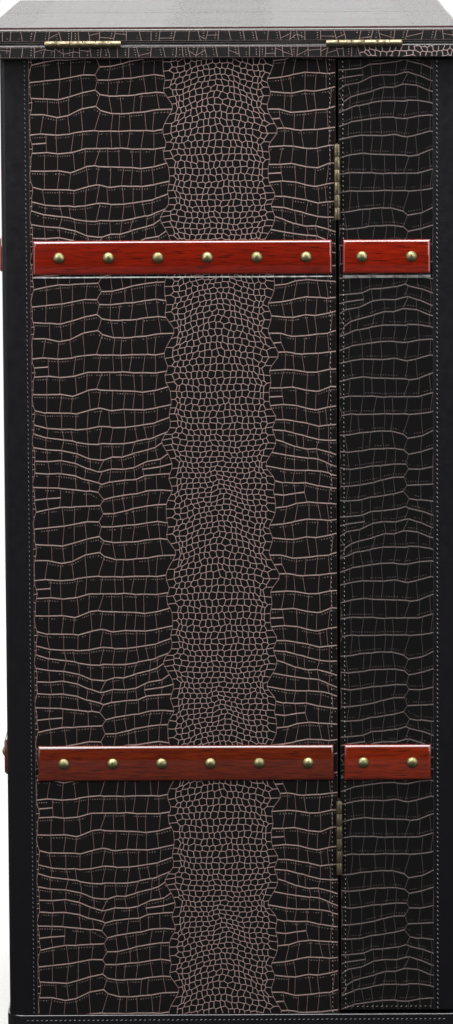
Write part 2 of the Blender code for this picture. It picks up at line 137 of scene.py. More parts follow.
def make_calf_leather(name, shine, roughness):
    """Smooth black calf, corrected and waxed: a sheen over a grain of half a millimetre."""
    grain_mm, crease_mm, unevenness = 0.6, 9.0, 0.08
    material, tree, shader = new_material(name, {"Base Color": linear("#161618"),
                                                 "Specular IOR Level": shine})
    place = add_node(tree, "TexCoord").outputs["Object"]
    grain = add_node(tree, "TexVoronoi", {"Scale": 1000 / grain_mm, "Vector": place})
    crease = add_node(tree, "TexNoise", {"Scale": 1000 / crease_mm, "Detail": 4.0, "Vector": place})
    gloss = add_node(tree, "MapRange", {"From Min": 0.3, "From Max": 0.7,
                                        "To Min": roughness - unevenness,
                                        "To Max": roughness + unevenness, "Value": crease})
    bump = add_node(tree, "Bump", {"Strength": 0.25, "Distance": 0.0001, "Height": grain})
    link(shader, {"Roughness": gloss, "Normal": bump})
    return material


calf_leather = make_calf_leather("smooth_black_calf_leather", 0.14, 0.42)
burnished_leather = make_calf_leather("burnished_black_leather_edge", 1.0, 0.26)
wear(nodes["plinth"], calf_leather)
plinth_low, plinth_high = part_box("plinth")
plinth_corner_radius = 0.020
piping_radius = 0.0011
piping_inset = 0.0010
piping_drop = 0.0004


def make_piping(name, low, high, level, corner, radius, body):
    """A leather covered cord laid round a rectangle with rounded corners."""
    deselect()
    middle = ((low.x + high.x) / 2, (low.y + high.y) / 2, level)
    bpy.ops.mesh.primitive_plane_add(size=1, location=middle)
    cord = bpy.context.object
    cord.scale = (high.x - low.x, high.y - low.y, 1)
    bpy.ops.object.transform_apply(location=True, rotation=True, scale=True)
    open_all()
    bpy.ops.mesh.bevel(offset=corner, segments=10, affect="VERTICES")
    bpy.ops.mesh.select_all(action="SELECT")
    bpy.ops.mesh.delete(type="ONLY_FACE")
    close_edit()
    bpy.ops.object.convert(target="CURVE")
    bpy.context.object.data.bevel_depth = radius
    bpy.context.object.data.bevel_resolution = 3
    bpy.ops.object.convert(target="MESH")
    cord = bpy.context.object
    bpy.ops.object.shade_smooth()
    return settle(cord, name, burnished_leather, body)


inset = Vector((piping_inset, piping_inset, 0))
make_piping("plinth_piping", plinth_low + inset, plinth_high - inset, plinth_high.z - piping_drop,
            plinth_corner_radius - piping_inset, piping_radius, "cabinet")


# Case boards
# Boards veneered in dark mahogany inside and wrapped in black leather outside. The shelves and
# racks are veneered all over. The veneer is satin lacquered, its grain upright on the boards.

def make_veneer(name, along, light, dark, pore, settings, grain_mm=7.0, pore_mm=1.1):
    """Sliced hardwood: soft bands of growth with dark pores, both drawn out along the grain.
    Real pores are finer, and are drawn this coarse so that they show."""
    band_share, pore_share = 0.07, 0.03
    material, tree, shader = new_material(name, settings)
    place = add_node(tree, "TexCoord").outputs["Object"]
    drawn_out = [add_node(tree, "Mapping", {"Scale": [share if axis == along else 1.0 for axis in "XYZ"],
                                            "Vector": place}) for share in (band_share, pore_share)]
    bands = add_node(tree, "TexNoise", {"Scale": 1000 / grain_mm, "Detail": 5.0, "Distortion": 0.6,
                                        "Vector": drawn_out[0]})
    pores = add_node(tree, "TexNoise", {"Scale": 1000 / pore_mm, "Detail": 2.0, "Vector": drawn_out[1]})
    spread = add_node(tree, "MapRange", {"From Min": 0.33, "From Max": 0.67, "Value": bands})
    deep = add_node(tree, "MapRange", {"From Min": 0.56, "From Max": 0.68, "Value": pores})
    tone = add_node(tree, "Mix", {"data_type": "RGBA", "A": linear(dark), "B": linear(light),
                                  "Factor": spread})
    both = add_node(tree, "Mix", {"data_type": "RGBA", "B": linear(pore), "Factor": deep, "A": tone})
    bump = add_node(tree, "Bump", {"Strength": 0.25, "Distance": 0.0001, "invert": True, "Height": deep})
    link(shader, {"Base Color": both, "Normal": bump})
    return material


satin = {"Roughness": 0.38, "Specular IOR Level": 0.4}
mahogany = ("#54261a", "#3a1810", "#1d0c08")
upright_veneer = make_veneer("mahogany_veneer_upright", "Z", *mahogany, satin)
level_veneer = make_veneer("mahogany_veneer_level", "X", *mahogany, satin)


def paint_faces(node, first, second, test):
    """Two finishes on one CAD board: the second on faces whose middle and rounded normal pass a test."""
    mesh = nodes[node].data
    mesh.materials.clear()
    mesh.materials.append(first)
    mesh.materials.append(second)
    for face in mesh.polygons:
        face.material_index = int(test(face.center, [round(part) for part in face.normal]))


for side, word in ((-1, "left"), (1, "right")):
    paint_faces(f"{word}_side_panel", calf_leather, upright_veneer, lambda c, n, s=side: n[0] == -s)
paint_faces("back_panel", calf_leather, upright_veneer, lambda c, n: n[1] == -1)
paint_faces("bottom_board", calf_leather, level_veneer, lambda c, n: n[2] == 1)
for name in ("lower_shelf", "counter_shelf", "wine_cradle", "stemware_rack"):
    wear(nodes[name], level_veneer)


# Croc leather skins of the case
# Split hide pressed with a plate of crocodile scales, then wiped so that the dark finish stays
# on the scales and the pinkish hide shows in the grooves. Each skin is glued on its panel.

# The plate's sizes are in metres, apart from the row lines' places across it and their depths
# below its top, which are in millimetres. Its middle is the belly, with a flank of rows each side.
plate_repeat = 0.237
plate_reach = 0.270
joint_line = 0.127
left_joint = (-0.125, -0.129)
belly_edge = 0.055
flank_edge = 0.1972
line_places = (-194, -160.5, -129, -125, -89, -55, 55, 84, 105, 125, 160.5, 194)
line_depths = (
    (22, 15.5, 14, 19.5, 15, 14.5, 18.5, 13, 12, 11.5, 15.5, 22),
    (38.5, 37, 29.5, 34, 34, 32, 32.5, 32, 30.5, 25.5, 37, 38.5),
    (55, 56, 46, 50.5, 54, 48.5, 50, 52.5, 51.5, 46.5, 56, 55),
    (75.5, 75.5, 71, 71, 73, 70, 70, 71, 72, 68, 75.5, 75.5),
    (94.5, 95.5, 89.5, 89.5, 91.5, 89, 89, 90, 91.5, 87, 95.5, 94.5),
    (113, 115, 108.5, 108.5, 111.5, 107, 107.5, 109, 111, 106.5, 115, 113),
    (131.5, 134.5, 129.5, 129.5, 131, 126, 126, 128, 131, 127, 134.5, 131.5),
    (147, 152, 149, 149, 148.5, 139.5, 142, 144.5, 148.5, 148, 152, 147),
    (156.5, 164, 167.5, 167.5, 164.5, 155, 153.5, 157, 163.5, 165, 164, 156.5),
    (170.5, 176, 184, 184, 177, 166, 164, 171, 174, 181, 176, 170.5),
    (184, 186.5, 196, 196, 191, 178, 177.5, 181.5, 185, 194, 186.5, 184),
    (197, 200.5, 207.5, 210, 203.5, 198, 192, 196, 198, 202.5, 200.5, 197),
    (212.5, 216, 218, 226.5, 219, 216.5, 207.5, 209.5, 213.5, 215, 216, 212.5),
    (240, 234, 233.5, 243, 235, 232, 236, 231.5, 231, 231.5, 234, 240))
line_count = len(line_depths)
# for a row and a flank of it, the first and last upright between which its scales are halved
halved_scales = {(2, 2): (0, 1), (3, 0): (0, 1), (5, 2): (0, 1), (8, 3): (3, 5), (10, 1): (4, 6),
                 (12, 0): (0, 2), (12, 2): (0, 3), (12, 3): (3, 5), (1, 3): (3, 5)}
scale_width = 0.0128
upright_wander, upright_lean = 0.22, 0.0006
small_scale, outer_scale = 0.0063, 0.0085
raster_step = 0.0005
plate_seed = 11
tolerance = 1e-5


def line_height(line, across):
    """Where a row line runs on the plate: a smooth curve through the places of its flank."""
    middle = len(line_places) // 2
    flank = slice(0, middle) if across < 0 else slice(middle, None)
    at, deep = line_places[flank], line_depths[line % line_count][flank]
    place = min(max(across * 1000, at[0]), at[-1])
    k = max(i for i in range(len(at) - 1) if at[i] <= place)
    before, after = max(k - 1, 0), min(k + 2, len(at) - 1)
    gap = at[k + 1] - at[k]
    s = (place - at[k]) / gap
    slope = gap * (deep[k + 1] - deep[before]) / (at[k + 1] - at[before])
    next_slope = gap * (deep[after] - deep[k]) / (at[after] - at[k])
    depth = (1 - s) ** 2 * (deep[k] * (1 + 2 * s) + slope * s)
    depth += s ** 2 * (deep[k + 1] * (3 - 2 * s) - next_slope * (1 - s))
    return plate_repeat * (1 - line // line_count) - depth / 1000


def divide_row(rng, start, end):
    """The upright lines of one row between two edges: where each meets the row's top and bottom."""
    count = round((end - start) / scale_width)
    cuts = [(start, start)]
    for k in range(1, count):
        middle = start + (end - start) * (k + rng.uniform(-upright_wander, upright_wander)) / count
        lean = rng.uniform(-upright_lean, upright_lean)
        cuts.append((middle + lean, middle - lean))
    cuts.append((end, end))
    return [left_joint if cut == (-joint_line, -joint_line) else cut for cut in cuts]


def seed_small_scales(rng, start, end, size, line_ends):
    """The small scales' middles and half sizes: larger ones where rows end, then slid rows of them."""
    at_line, between_lines, wide_gap = 0.0046, 0.0042, 0.011
    border_middle, border_width, border_wander = 0.0043, 0.0062, 0.0008
    slide_share, wander, height_wander = 0.13, 0.0007, 0.0008
    size_range, midline_share, midline_half = (0.9, 1.1), 1.2, 0.008
    seeds, inner = [], [start, end]
    for side, edge, inward in ((0, start, 1), (1, end, -1)):
        held = sorted(height for place, height in line_ends if place == edge)
        for height, after in zip(held, held[1:] + [first + plate_repeat for first in held[:1]]):
            inner[side] = edge + inward * border_width
            across = edge + inward * border_middle
            seeds.append((across, height, at_line))
            if after - height > wide_gap:
                across += rng.uniform(-border_wander, border_wander)
                seeds.append((across, (height + after) / 2, between_lines))
    rows = round(plate_repeat / size)
    pitch = plate_repeat / rows
    count = round((inner[1] - inner[0]) / size)
    for row in range(rows):
        slide = slide_share if row % 2 else -slide_share
        for column in range(count):
            across = inner[0] + (inner[1] - inner[0]) * (column + 0.5 + slide) / count
            across += rng.uniform(-wander, wander)
            share = rng.uniform(*size_range) * (midline_share if abs(across) < midline_half else 1.0)
            height = (row + 0.5) * pitch + rng.uniform(-height_wander, height_wander)
            seeds.append((across, height, size / 2 * share))
    return seeds


def grow_small_scales(seeds, start, end):
    """A fine raster of the strip that says which seed's scale each place belongs to."""
    roundness, reach_share = 2.3, 3.0
    wide, high = round((end - start) / raster_step), round(plate_repeat / raster_step)
    best = np.full((high, wide), 1e9)
    label = np.zeros((high, wide), int)
    for index, (across, height, half) in enumerate(seeds):
        reach = reach_share * half
        columns = np.arange(max(0, int((across - start - reach) / raster_step)),
                            min(wide, int((across - start + reach) / raster_step) + 1))
        lines = np.arange(int((height - reach) / raster_step), int((height + reach) / raster_step) + 1)
        du = np.abs((columns + 0.5) * raster_step + start - across) / half
        dv = np.abs((lines + 0.5) * raster_step - height) / half
        far = (du[None, :] ** roundness + dv[:, None] ** roundness) ** (1 / roundness)
        window = np.ix_(lines % high, columns)
        label[window] = np.where(far < best[window], index, label[window])
        best[window] = np.minimum(far, best[window])
    return label


def find_meetings(label, start):
    """The places where three or more scales, or two and an edge, meet, by the scales that meet there."""
    same_place = 0.002
    margin = np.full((len(label), 1), -1)
    ringed = np.concatenate([margin, label, margin], axis=1)
    below = np.roll(ringed, -1, axis=0)
    quads = np.stack([ringed[:, :-1], ringed[:, 1:], below[:, :-1], below[:, 1:]], axis=-1)
    kinds = 1 + (np.diff(np.sort(quads, axis=-1), axis=-1) != 0).sum(axis=-1)
    meetings = {}
    for line, column in np.argwhere(kinds >= 3):
        key = tuple(sorted(set(int(k) for k in quads[line, column])))
        spot = (start + column * raster_step, (line + 1) * raster_step)
        groups = meetings.setdefault(key, [])
        near = [group for group in groups if abs(group[0][0] - spot[0]) < same_place
                and abs(group[0][1] - spot[1]) < same_place]
        if near:
            near[0].append(spot)
        else:
            groups.append([spot])
    return meetings


def small_scales(rng, start, end, size, line_ends):
    """The small round scales of one upright strip of the plate, as corner lists that close on its edges."""
    clear = 0.0004
    seeds = seed_small_scales(rng, start, end, size, line_ends)
    meetings = find_meetings(grow_small_scales(seeds, start, end), start)
    corners = [[] for _ in seeds]
    edges = {start: set(), end: set()}
    for key, groups in meetings.items():
        for group in groups:
            spot = tuple(sum(axis) / len(group) for axis in zip(*group))
            if key[0] < 0:
                spot = (start if spot[0] < (start + end) / 2 else end, spot[1])
                edges[spot[0]].add(spot[1])
            for index in key:
                if index >= 0:
                    corners[index].append(spot)
    scales = []
    for (across, height, half), spots in zip(seeds, corners):
        ring = [(u, height + (v - height + plate_repeat / 2) % plate_repeat - plate_repeat / 2)
                for u, v in spots]
        for edge, line_end in line_ends:
            held = [v for u, v in ring if u == edge]
            if len(held) > 1:
                ring += [(edge, line_end + turn * plate_repeat) for turn in (-1, 0, 1)
                         if min(held) + clear < line_end + turn * plate_repeat < max(held) - clear]
        ring.sort(key=lambda corner: math.atan2(corner[1] - height, corner[0] - across))
        if len(ring) > 2:
            scales.append(ring)
    return scales, edges


def warp(across, height):
    """Pulls the finished layout about: chevrons down the belly, wavering edges and lines."""
    arch_rise, arch_swing, arch_turn, arch_fall = 0.0055, 0.0090, 0.9, 1.15
    ripples = ((0.0010, 0.047, 2.2, 1, 20), (0.0004, 0.019, 3.1, 2, 0))
    border_waves, border_softness = ((0.0034, 3, 1), (0.0022, 7, 2)), 0.011
    line_waves = ((0.0012, 5, 90), (0.0007, 11, -140))
    phase = 2 * math.pi * height / plate_repeat
    arch = arch_rise + arch_swing * math.cos(phase + arch_turn)
    lift = arch * max(0.0, 1 - abs(across) / belly_edge) ** arch_fall
    for size, length, bend, waves, drift in ripples:
        bent = bend * math.sin(waves * phase + across * drift)
        lift += size * math.sin(2 * math.pi * across / length + bent)
    side = math.copysign(1.0, across)
    slip = sum(size * math.sin(waves * phase + shift * side) for size, waves, shift in border_waves)
    slip *= math.exp(-((abs(across) - belly_edge) / border_softness) ** 2)
    slip += sum(size * math.sin(waves * phase + drift * across) for size, waves, drift in line_waves)
    return across + slip, height + lift


def row_scales(row, z, rows, mids, edges):
    """The scales of one row on one flank, as corner lists; halved ones are cut at their middles."""
    cuts = rows[row, z]
    above, below = rows[(row - 1) % line_count, z], rows[(row + 1) % line_count, z]
    top_line = sorted({foot for top, foot in above} | {top for top, foot in cuts})
    foot_line = sorted({top for top, foot in below} | {foot for top, foot in cuts})
    scales = []
    for k in range(len(cuts) - 1):
        (top, foot), (next_top, next_foot) = cuts[k], cuts[k + 1]
        upper = [(s, line_height(row, s)) for s in top_line if top <= s <= next_top]
        lower = [(s, line_height(row + 1, s)) for s in foot_line if foot <= s <= next_foot]
        sides = []
        for index, high, low in ((k, upper[0], lower[0]), (k + 1, upper[-1], lower[-1])):
            middle = mids.get((row, z, index))
            held = edges.get(high[0], []) if high[0] == low[0] else []
            side = [(high[0], v) for v in held if low[1] + tolerance < v < high[1] - tolerance]
            if middle and not side:
                side = [middle]
            sides.append(sorted(side, key=lambda spot: -spot[1]))
        left, right = sides
        first, last = halved_scales.get((row, z), (0, 0))
        if first <= k < last and (row, z, k + 1) in mids:
            cut_left, cut_right = mids[row, z, k], mids[row, z, k + 1]
            right_above = [s for s in right if s[1] > cut_right[1] + tolerance]
            right_below = [s for s in right if s[1] < cut_right[1] - tolerance]
            left_above = [s for s in left[::-1] if s[1] > cut_left[1] + tolerance]
            left_below = [s for s in left[::-1] if s[1] < cut_left[1] - tolerance]
            scales.append(upper + right_above + [cut_right, cut_left] + left_above)
            scales.append([cut_left, cut_right] + right_below + lower[::-1] + left_below)
        else:
            scales.append(upper + right + lower[::-1] + left[::-1])
    return [scale[::-1] for scale in scales]


def plate_scales():
    """One repeat of the plate: for each scale its corners in metres, and its row or None if it is small."""
    rng = random.Random(plate_seed)
    zones = ((-flank_edge, -joint_line), (-joint_line, -belly_edge), (belly_edge, joint_line),
             (joint_line, flank_edge))
    rows = {(row, z): divide_row(rng, *zone) for row in range(line_count) for z, zone in enumerate(zones)}
    ends = [(edge, line_height(line, edge)) for line in range(line_count)
            for edge in (-flank_edge, -belly_edge, belly_edge, flank_edge)]
    mids = {}
    for (row, z), (first, last) in halved_scales.items():
        for k in range(first, min(last, len(rows[row, z]) - 1) + 1):
            top, foot = rows[row, z][k]
            middle = ((top + foot) / 2, (line_height(row, top) + line_height(row + 1, foot)) / 2)
            mids[row, z, k] = middle
            if abs(middle[0]) in (belly_edge, flank_edge):
                ends.append(middle)
    strips = ((-plate_reach, -flank_edge, outer_scale), (-belly_edge, belly_edge, small_scale),
              (flank_edge, plate_reach, outer_scale))
    scales, edges = [], {}
    for start, end, size in strips:
        small, found = small_scales(rng, start, end, size, [e for e in ends if start <= e[0] <= end])
        scales += [(corners, None) for corners in small]
        for edge, heights in found.items():
            every = sorted(heights | {height % plate_repeat for place, height in ends if place == edge})
            edges[edge] = [height + turn * plate_repeat for turn in (-1, 0, 1) for height in every]
    for row, z in rows:
        scales += [(corners, row) for corners in row_scales(row, z, rows, mids, edges)]
    return scales


plate = plate_scales()
scale_kinds = ("row", "small", "strip")
groove_half_widths = {"row": 0.00016, "small": 0.00026, "strip": 0.00018}
# how bright a groove's line is where it runs along the rows, and where it runs across them. On the row
# scales the difference is painted light: the lines along the rows catch the light from above.
line_and_painted_light_shares = {"row": (1.0, 0.5), "small": (1.4, 1.4), "strip": (0.6, 0.75)}
# how bright the painted highlight is on a rim along a seam, where the skin's edge catches the light
seam_painted_highlight_share = 0.5
scale_wall = 0.00028
groove_depth = 0.0004
row_groove_share = 2.2
skin_thickness = 0.0008
bare_rim = 0.0004


def take(obj):
    """Makes a piece the only selected and active one."""
    deselect()
    obj.select_set(True)
    bpy.context.view_layer.objects.active = obj


def edit(obj, mode="VERT"):
    """Opens a piece in edit mode with nothing selected."""
    take(obj)
    bpy.ops.object.mode_set(mode="EDIT")
    bpy.ops.mesh.select_mode(type=mode)
    bpy.ops.mesh.select_all(action="DESELECT")
    close_edit()


def runs_across(mesh, face):
    """Whether the longer edges of a groove's face run along the rows."""
    a, b, c = (mesh.vertices[k].co for k in list(face.vertices)[:3])
    longer = b - a if (b - a).length > (c - b).length else c - b
    return abs(longer.x) > abs(longer.y)


def press_scales(obj, kind):
    """Presses the scales of one kind: a groove's floor round each, then its wall up to the top."""
    edit(obj, "FACE")
    for face, flag in zip(obj.data.polygons, obj.data.attributes["kind"].data):
        face.select = flag.value == scale_kinds.index(kind)
    bpy.ops.object.mode_set(mode="EDIT")
    bpy.ops.mesh.inset(thickness=groove_half_widths[kind], use_individual=True, use_interpolate=True)
    bpy.ops.mesh.inset(thickness=scale_wall, depth=groove_depth, use_individual=True, use_interpolate=True)
    close_edit()


def cut_from_plate(width, height, plate_left, plate_bottom, turned=False):
    """The scales under a skin: each one's corners there, its corners for the pits, and its kind."""
    warp_reach, clear_of_pits = 0.03, 90.0
    cut = []
    first = math.floor((plate_bottom - warp_reach) / plate_repeat)
    last = math.ceil((plate_bottom + height + warp_reach) / plate_repeat)
    for turn in range(first, last + 1):
        for corners, row in plate:
            moved = [warp(u, v + turn * plate_repeat) for u, v in corners]
            spots = [(u - plate_left, v - plate_bottom) for u, v in moved]
            across, up = zip(*spots)
            if max(across) < 0 or min(across) > width or max(up) < 0 or min(up) > height:
                continue
            if turned:
                spots = [(width - x, height - y) for x, y in spots]
            pits = [(u * 1000, clear_of_pits if row is None else (line_height(row, u) - v) * 1000)
                    for u, v in corners]
            cut.append((spots, pits, "row" if row is not None else "small"))
    return cut


def share_lines(mesh, width, height, rim, seams):
    """Gives each groove's face its brightness, painted light included: row lines lighter along the rows
    than across, none on the rim, and a painted highlight on the rims along seams.
    """
    share = mesh.attributes.new("line_share", "FLOAT", "FACE")
    kinds = [scale_kinds[flag.value] for flag in mesh.attributes["kind"].data]
    row_edges = {key for face in mesh.polygons if kinds[face.index] == "row" and round(face.normal.z) == 1
                 for key in face.edge_keys}
    for face in mesh.polygons:
        x, y, z = face.center
        beside_row = kinds[face.index] == "small" and not row_edges.isdisjoint(face.edge_keys)
        along, across = line_and_painted_light_shares["row" if beside_row else kinds[face.index]]
        share.data[face.index].value = along if runs_across(mesh, face) else across
        if min(x, y, width - x, height - y) < rim + tolerance / 10:
            # a painted highlight on the rims along seams, where the skin's edge catches the light
            by_seam = any(abs(x - seam) < rim for seam in seams)
            share.data[face.index].value = seam_painted_highlight_share if by_seam else 0.0


def croc_skin(width, height, cut, thickness=skin_thickness, rim=bare_rim, seams=()):
    """A flat skin lying on its back at z 0, width along X and height along Y, pressed with scales."""
    corner_gap = 0.0006
    points = [(x, y, 0.0) for spots, pits, kind in cut for x, y in spots]
    ends = list(np.cumsum([len(spots) for spots, pits, kind in cut]))
    mesh = bpy.data.meshes.new("skin")
    mesh.from_pydata(points, [], [range(a, b) for a, b in zip([0] + ends, ends)])
    layer = mesh.uv_layers.new(name="pits")
    layer.data.foreach_set("uv", [value for spots, pits, kind in cut for pair in pits for value in pair])
    kinds = mesh.attributes.new("kind", "INT", "FACE")
    kinds.data.foreach_set("value", [scale_kinds.index(kind) for spots, pits, kind in cut])
    obj = bpy.data.objects.new("skin", mesh)
    bpy.context.scene.collection.objects.link(obj)
    take(obj)
    open_all()
    bpy.ops.mesh.remove_doubles(threshold=corner_gap)
    bpy.ops.transform.resize(value=(1, 1 / row_groove_share, 1), center_override=(0, 0, 0))
    close_edit()
    press_scales(obj, "row")
    open_all()
    bpy.ops.transform.resize(value=(1, row_groove_share, 1), center_override=(0, 0, 0))
    close_edit()
    press_scales(obj, "small")
    press_scales(obj, "strip")
    open_all()
    bpy.ops.transform.translate(value=(0, 0, thickness))
    for place, normal in (((rim, 0, 0), (-1, 0, 0)), ((width - rim, 0, 0), (1, 0, 0)),
                          ((0, rim, 0), (0, -1, 0)), ((0, height - rim, 0), (0, 1, 0))):
        bpy.ops.mesh.select_all(action="SELECT")
        bpy.ops.mesh.bisect(plane_co=place, plane_no=normal, clear_outer=True)
    bpy.ops.mesh.select_mode(type="EDGE")
    bpy.ops.mesh.select_all(action="DESELECT")
    bpy.ops.mesh.select_non_manifold()
    if rim:
        bpy.ops.mesh.extrude_region_move()
        bpy.ops.transform.resize(value=(1, 1, 0), center_override=(0, 0, thickness))
        bpy.ops.mesh.extrude_region_move()
        bpy.ops.transform.resize(value=(width / (width - 2 * rim), height / (height - 2 * rim), 1),
                                 center_override=(width / 2, height / 2, thickness))
    bpy.ops.mesh.extrude_region_move()
    bpy.ops.transform.resize(value=(1, 1, 0), center_override=(0, 0, 0))
    bpy.ops.mesh.edge_face_add()
    close_edit()
    groove = mesh.attributes.new("groove", "FLOAT", "POINT")
    groove.data.foreach_set("value", [max(0.0, 1 - (v.co.z - thickness) / groove_depth)
                                      for v in mesh.vertices])
    share_lines(mesh, width, height, rim, seams)
    return obj


def lay(obj, corner, across, up, out):
    """Turns a flat piece so that X, Y and Z run across, up and out, and puts its corner in place."""
    turn = Matrix((across, up, out)).transposed().to_4x4()
    turn.translation = corner
    obj.data.transform(turn)
    obj.data.update()


def make_croc_leather(name, scale_colour, wall_colour, line_colour, grain_mm=1.1, grain=0.4,
                      relief=0.0002):
    """Split hide, embossed: near-black waxed scales, dry pinkish grooves, pits under the row lines."""
    pit_pitch, pit_radius, pit_drop, pit_softness, cluster_mm = 2.6, 0.5, 3.3, 0.25, 9.0
    rubbed_mm = 14.0
    material, tree, shader = new_material(name, {"Specular IOR Level": 0.14})
    place = add_node(tree, "TexCoord").outputs["Object"]
    groove = add_node(tree, "Attribute", {"attribute_name": "groove"}).outputs["Fac"]
    share = add_node(tree, "Attribute", {"attribute_name": "line_share"}).outputs["Fac"]
    parts = add_node(tree, "SeparateXYZ", {"Vector": add_node(tree, "UVMap", {"uv_map": "pits"})})
    cycle = add_node(tree, "Math", {"operation": "PINGPONG", 1: pit_pitch / 2, 0: parts.outputs["X"]})
    drop = add_node(tree, "Math", {"operation": "SUBTRACT", 1: pit_drop, 0: parts.outputs["Y"]})
    spot = add_node(tree, "CombineXYZ", {"X": cycle, "Y": drop})
    reach = add_node(tree, "VectorMath", {"operation": "LENGTH", 0: spot})
    pit = add_node(tree, "MapRange", {"From Min": pit_radius * (1 + pit_softness),
                                      "From Max": pit_radius * (1 - pit_softness), "Value": reach})
    clusters = add_node(tree, "TexNoise", {"Scale": 1000 / cluster_mm, "Detail": 1.0, "Vector": place})
    some = add_node(tree, "MapRange", {"From Min": 0.42, "From Max": 0.52, "To Max": 0.75,
                                       "Value": clusters})
    pits = add_node(tree, "Math", {"operation": "MULTIPLY", 0: pit, 1: some})
    wiped = add_node(tree, "TexNoise", {"Scale": 1000 / rubbed_mm, "Detail": 3.0, "Vector": place})
    rubbed = add_node(tree, "MapRange", {"From Min": 0.3, "From Max": 0.7, "To Min": 0.7, "To Max": 1.0,
                                         "Value": wiped})
    floor = add_node(tree, "MapRange", {"From Min": 0.55, "From Max": 0.95, "Value": groove})
    # the line share carries painted light: row lines lighter along the rows than across, and a painted
    # highlight on the rims along seams
    bright = add_node(tree, "Math", {"operation": "MULTIPLY", 0: floor, 1: share})
    most = add_node(tree, "Math", {"operation": "MAXIMUM", 0: bright, 1: pits})
    shown = add_node(tree, "Math", {"operation": "MULTIPLY", 0: most, 1: rubbed})
    wall = add_node(tree, "MapRange", {"From Min": 0.05, "From Max": 0.6, "Value": groove})
    sides = add_node(tree, "Mix", {"data_type": "RGBA", "A": linear(scale_colour),
                                   "B": linear(wall_colour), "Factor": wall})
    colour = add_node(tree, "Mix", {"data_type": "RGBA", "B": linear(line_colour), "Factor": shown,
                                    "A": sides})
    gloss = add_node(tree, "MapRange", {"To Min": 0.36, "To Max": 0.7, "Value": shown})
    pebble = add_node(tree, "TexNoise", {"Scale": 1000 / grain_mm, "Detail": 2.0, "Vector": place})
    bump = add_node(tree, "Bump", {"Strength": grain, "Distance": relief, "Height": pebble})
    link(shader, {"Base Color": colour, "Roughness": gloss, "Normal": bump})
    return material


croc_leather = make_croc_leather("embossed_two_tone_croc_leather", "#151313", "#4c3633", "#a8928d")
door_croc_leather = make_croc_leather("embossed_two_tone_croc_leather_of_the_doors", "#131213", "#302b2a",
                                      "#706460")
skin_gap = 0.0001
skin_end_gap = 0.0003
band_width = 0.030
leather_stand = 0.0015
plate_start_height = 0.8685
belly_middle_y = 0.0176
across_side = {-1: (0, -1, 0), 1: (0, 1, 0)}


def case_side_skin(side, word):
    """The skin of one side panel, between the back corner band and the door."""
    low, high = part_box(f"{word}_side_panel")
    width = high.y + leather_stand - band_width - low.y
    start = low.y + width if side < 0 else low.y
    height = high.z - low.z - 2 * skin_end_gap
    cut = cut_from_plate(width, height, -side * (belly_middle_y - start), low.z - plate_start_height)
    skin = croc_skin(width, height, cut, seams=(0.0 if side < 0 else width,))
    face = low.x - skin_gap if side < 0 else high.x + skin_gap
    lay(skin, (face, start, low.z + skin_end_gap), across_side[side], (0, 0, 1), (side, 0, 0))
    settle(skin, f"{word}_side_skin", croc_leather, "cabinet")


case_side_skin(-1, "left")
case_side_skin(1, "right")
back_low, back_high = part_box("back_panel")
case_half_width = 0.296
back_skin_reach = case_half_width - band_width
back_height = back_high.z - back_low.z - 2 * skin_end_gap
back_cut = cut_from_plate(2 * back_skin_reach, back_height, -back_skin_reach,
                          back_low.z - plate_start_height)
back_skin = croc_skin(2 * back_skin_reach, back_height, back_cut, seams=(0.0, 2 * back_skin_reach))
lay(back_skin, (back_skin_reach, back_high.y + skin_gap, back_low.z + skin_end_gap),
    (-1, 0, 0), (0, 0, 1), (0, 1, 0))
settle(back_skin, "back_skin", croc_leather, "cabinet")


# Corner bands
# Strips of smooth black leather folded round the upright corners, over the edges of the croc
# skins, and sewn down along their free edges.

band_corner_radius = 0.0055
band_thickness = 0.0012
band_edge_radius = 0.0005


def smooth(degrees):
    """Shades the selected piece smooth, apart from edges sharper than an angle."""
    bpy.ops.object.shade_smooth_by_angle(angle=math.radians(degrees))


def choose(obj, kind, test):
    """Selects the vertices, edges or faces that pass a test of their middle and opens edit mode."""
    edit(obj, {"vertices": "VERT", "edges": "EDGE", "polygons": "FACE"}[kind])
    mesh = obj.data
    for item in getattr(mesh, kind):
        ends = [item.index] if kind == "vertices" else item.vertices
        points = [mesh.vertices[k].co for k in ends]
        item.select = test(sum(points, Vector()) / len(points))
    bpy.ops.object.mode_set(mode="EDIT")


def apply_modifier(obj, kind, **settings):
    take(obj)
    modifier = obj.modifiers.new(kind.lower(), kind)
    for key, value in settings.items():
        setattr(modifier, key, value)
    bpy.ops.object.modifier_apply(modifier=modifier.name)


def round_edges(obj, width, segments, degrees=30):
    """Bevels the edges of a piece that are sharper than an angle."""
    apply_modifier(obj, "BEVEL", width=width, segments=segments, limit_method="ANGLE",
                   angle_limit=math.radians(degrees))


def block(low, high):
    """A block between two corners, with its place in its mesh."""
    low, high = Vector(low), Vector(high)
    deselect()
    bpy.ops.mesh.primitive_cube_add(size=1, location=(low + high) / 2, scale=high - low)
    bpy.ops.object.transform_apply(location=True, rotation=True, scale=True)
    return bpy.context.object


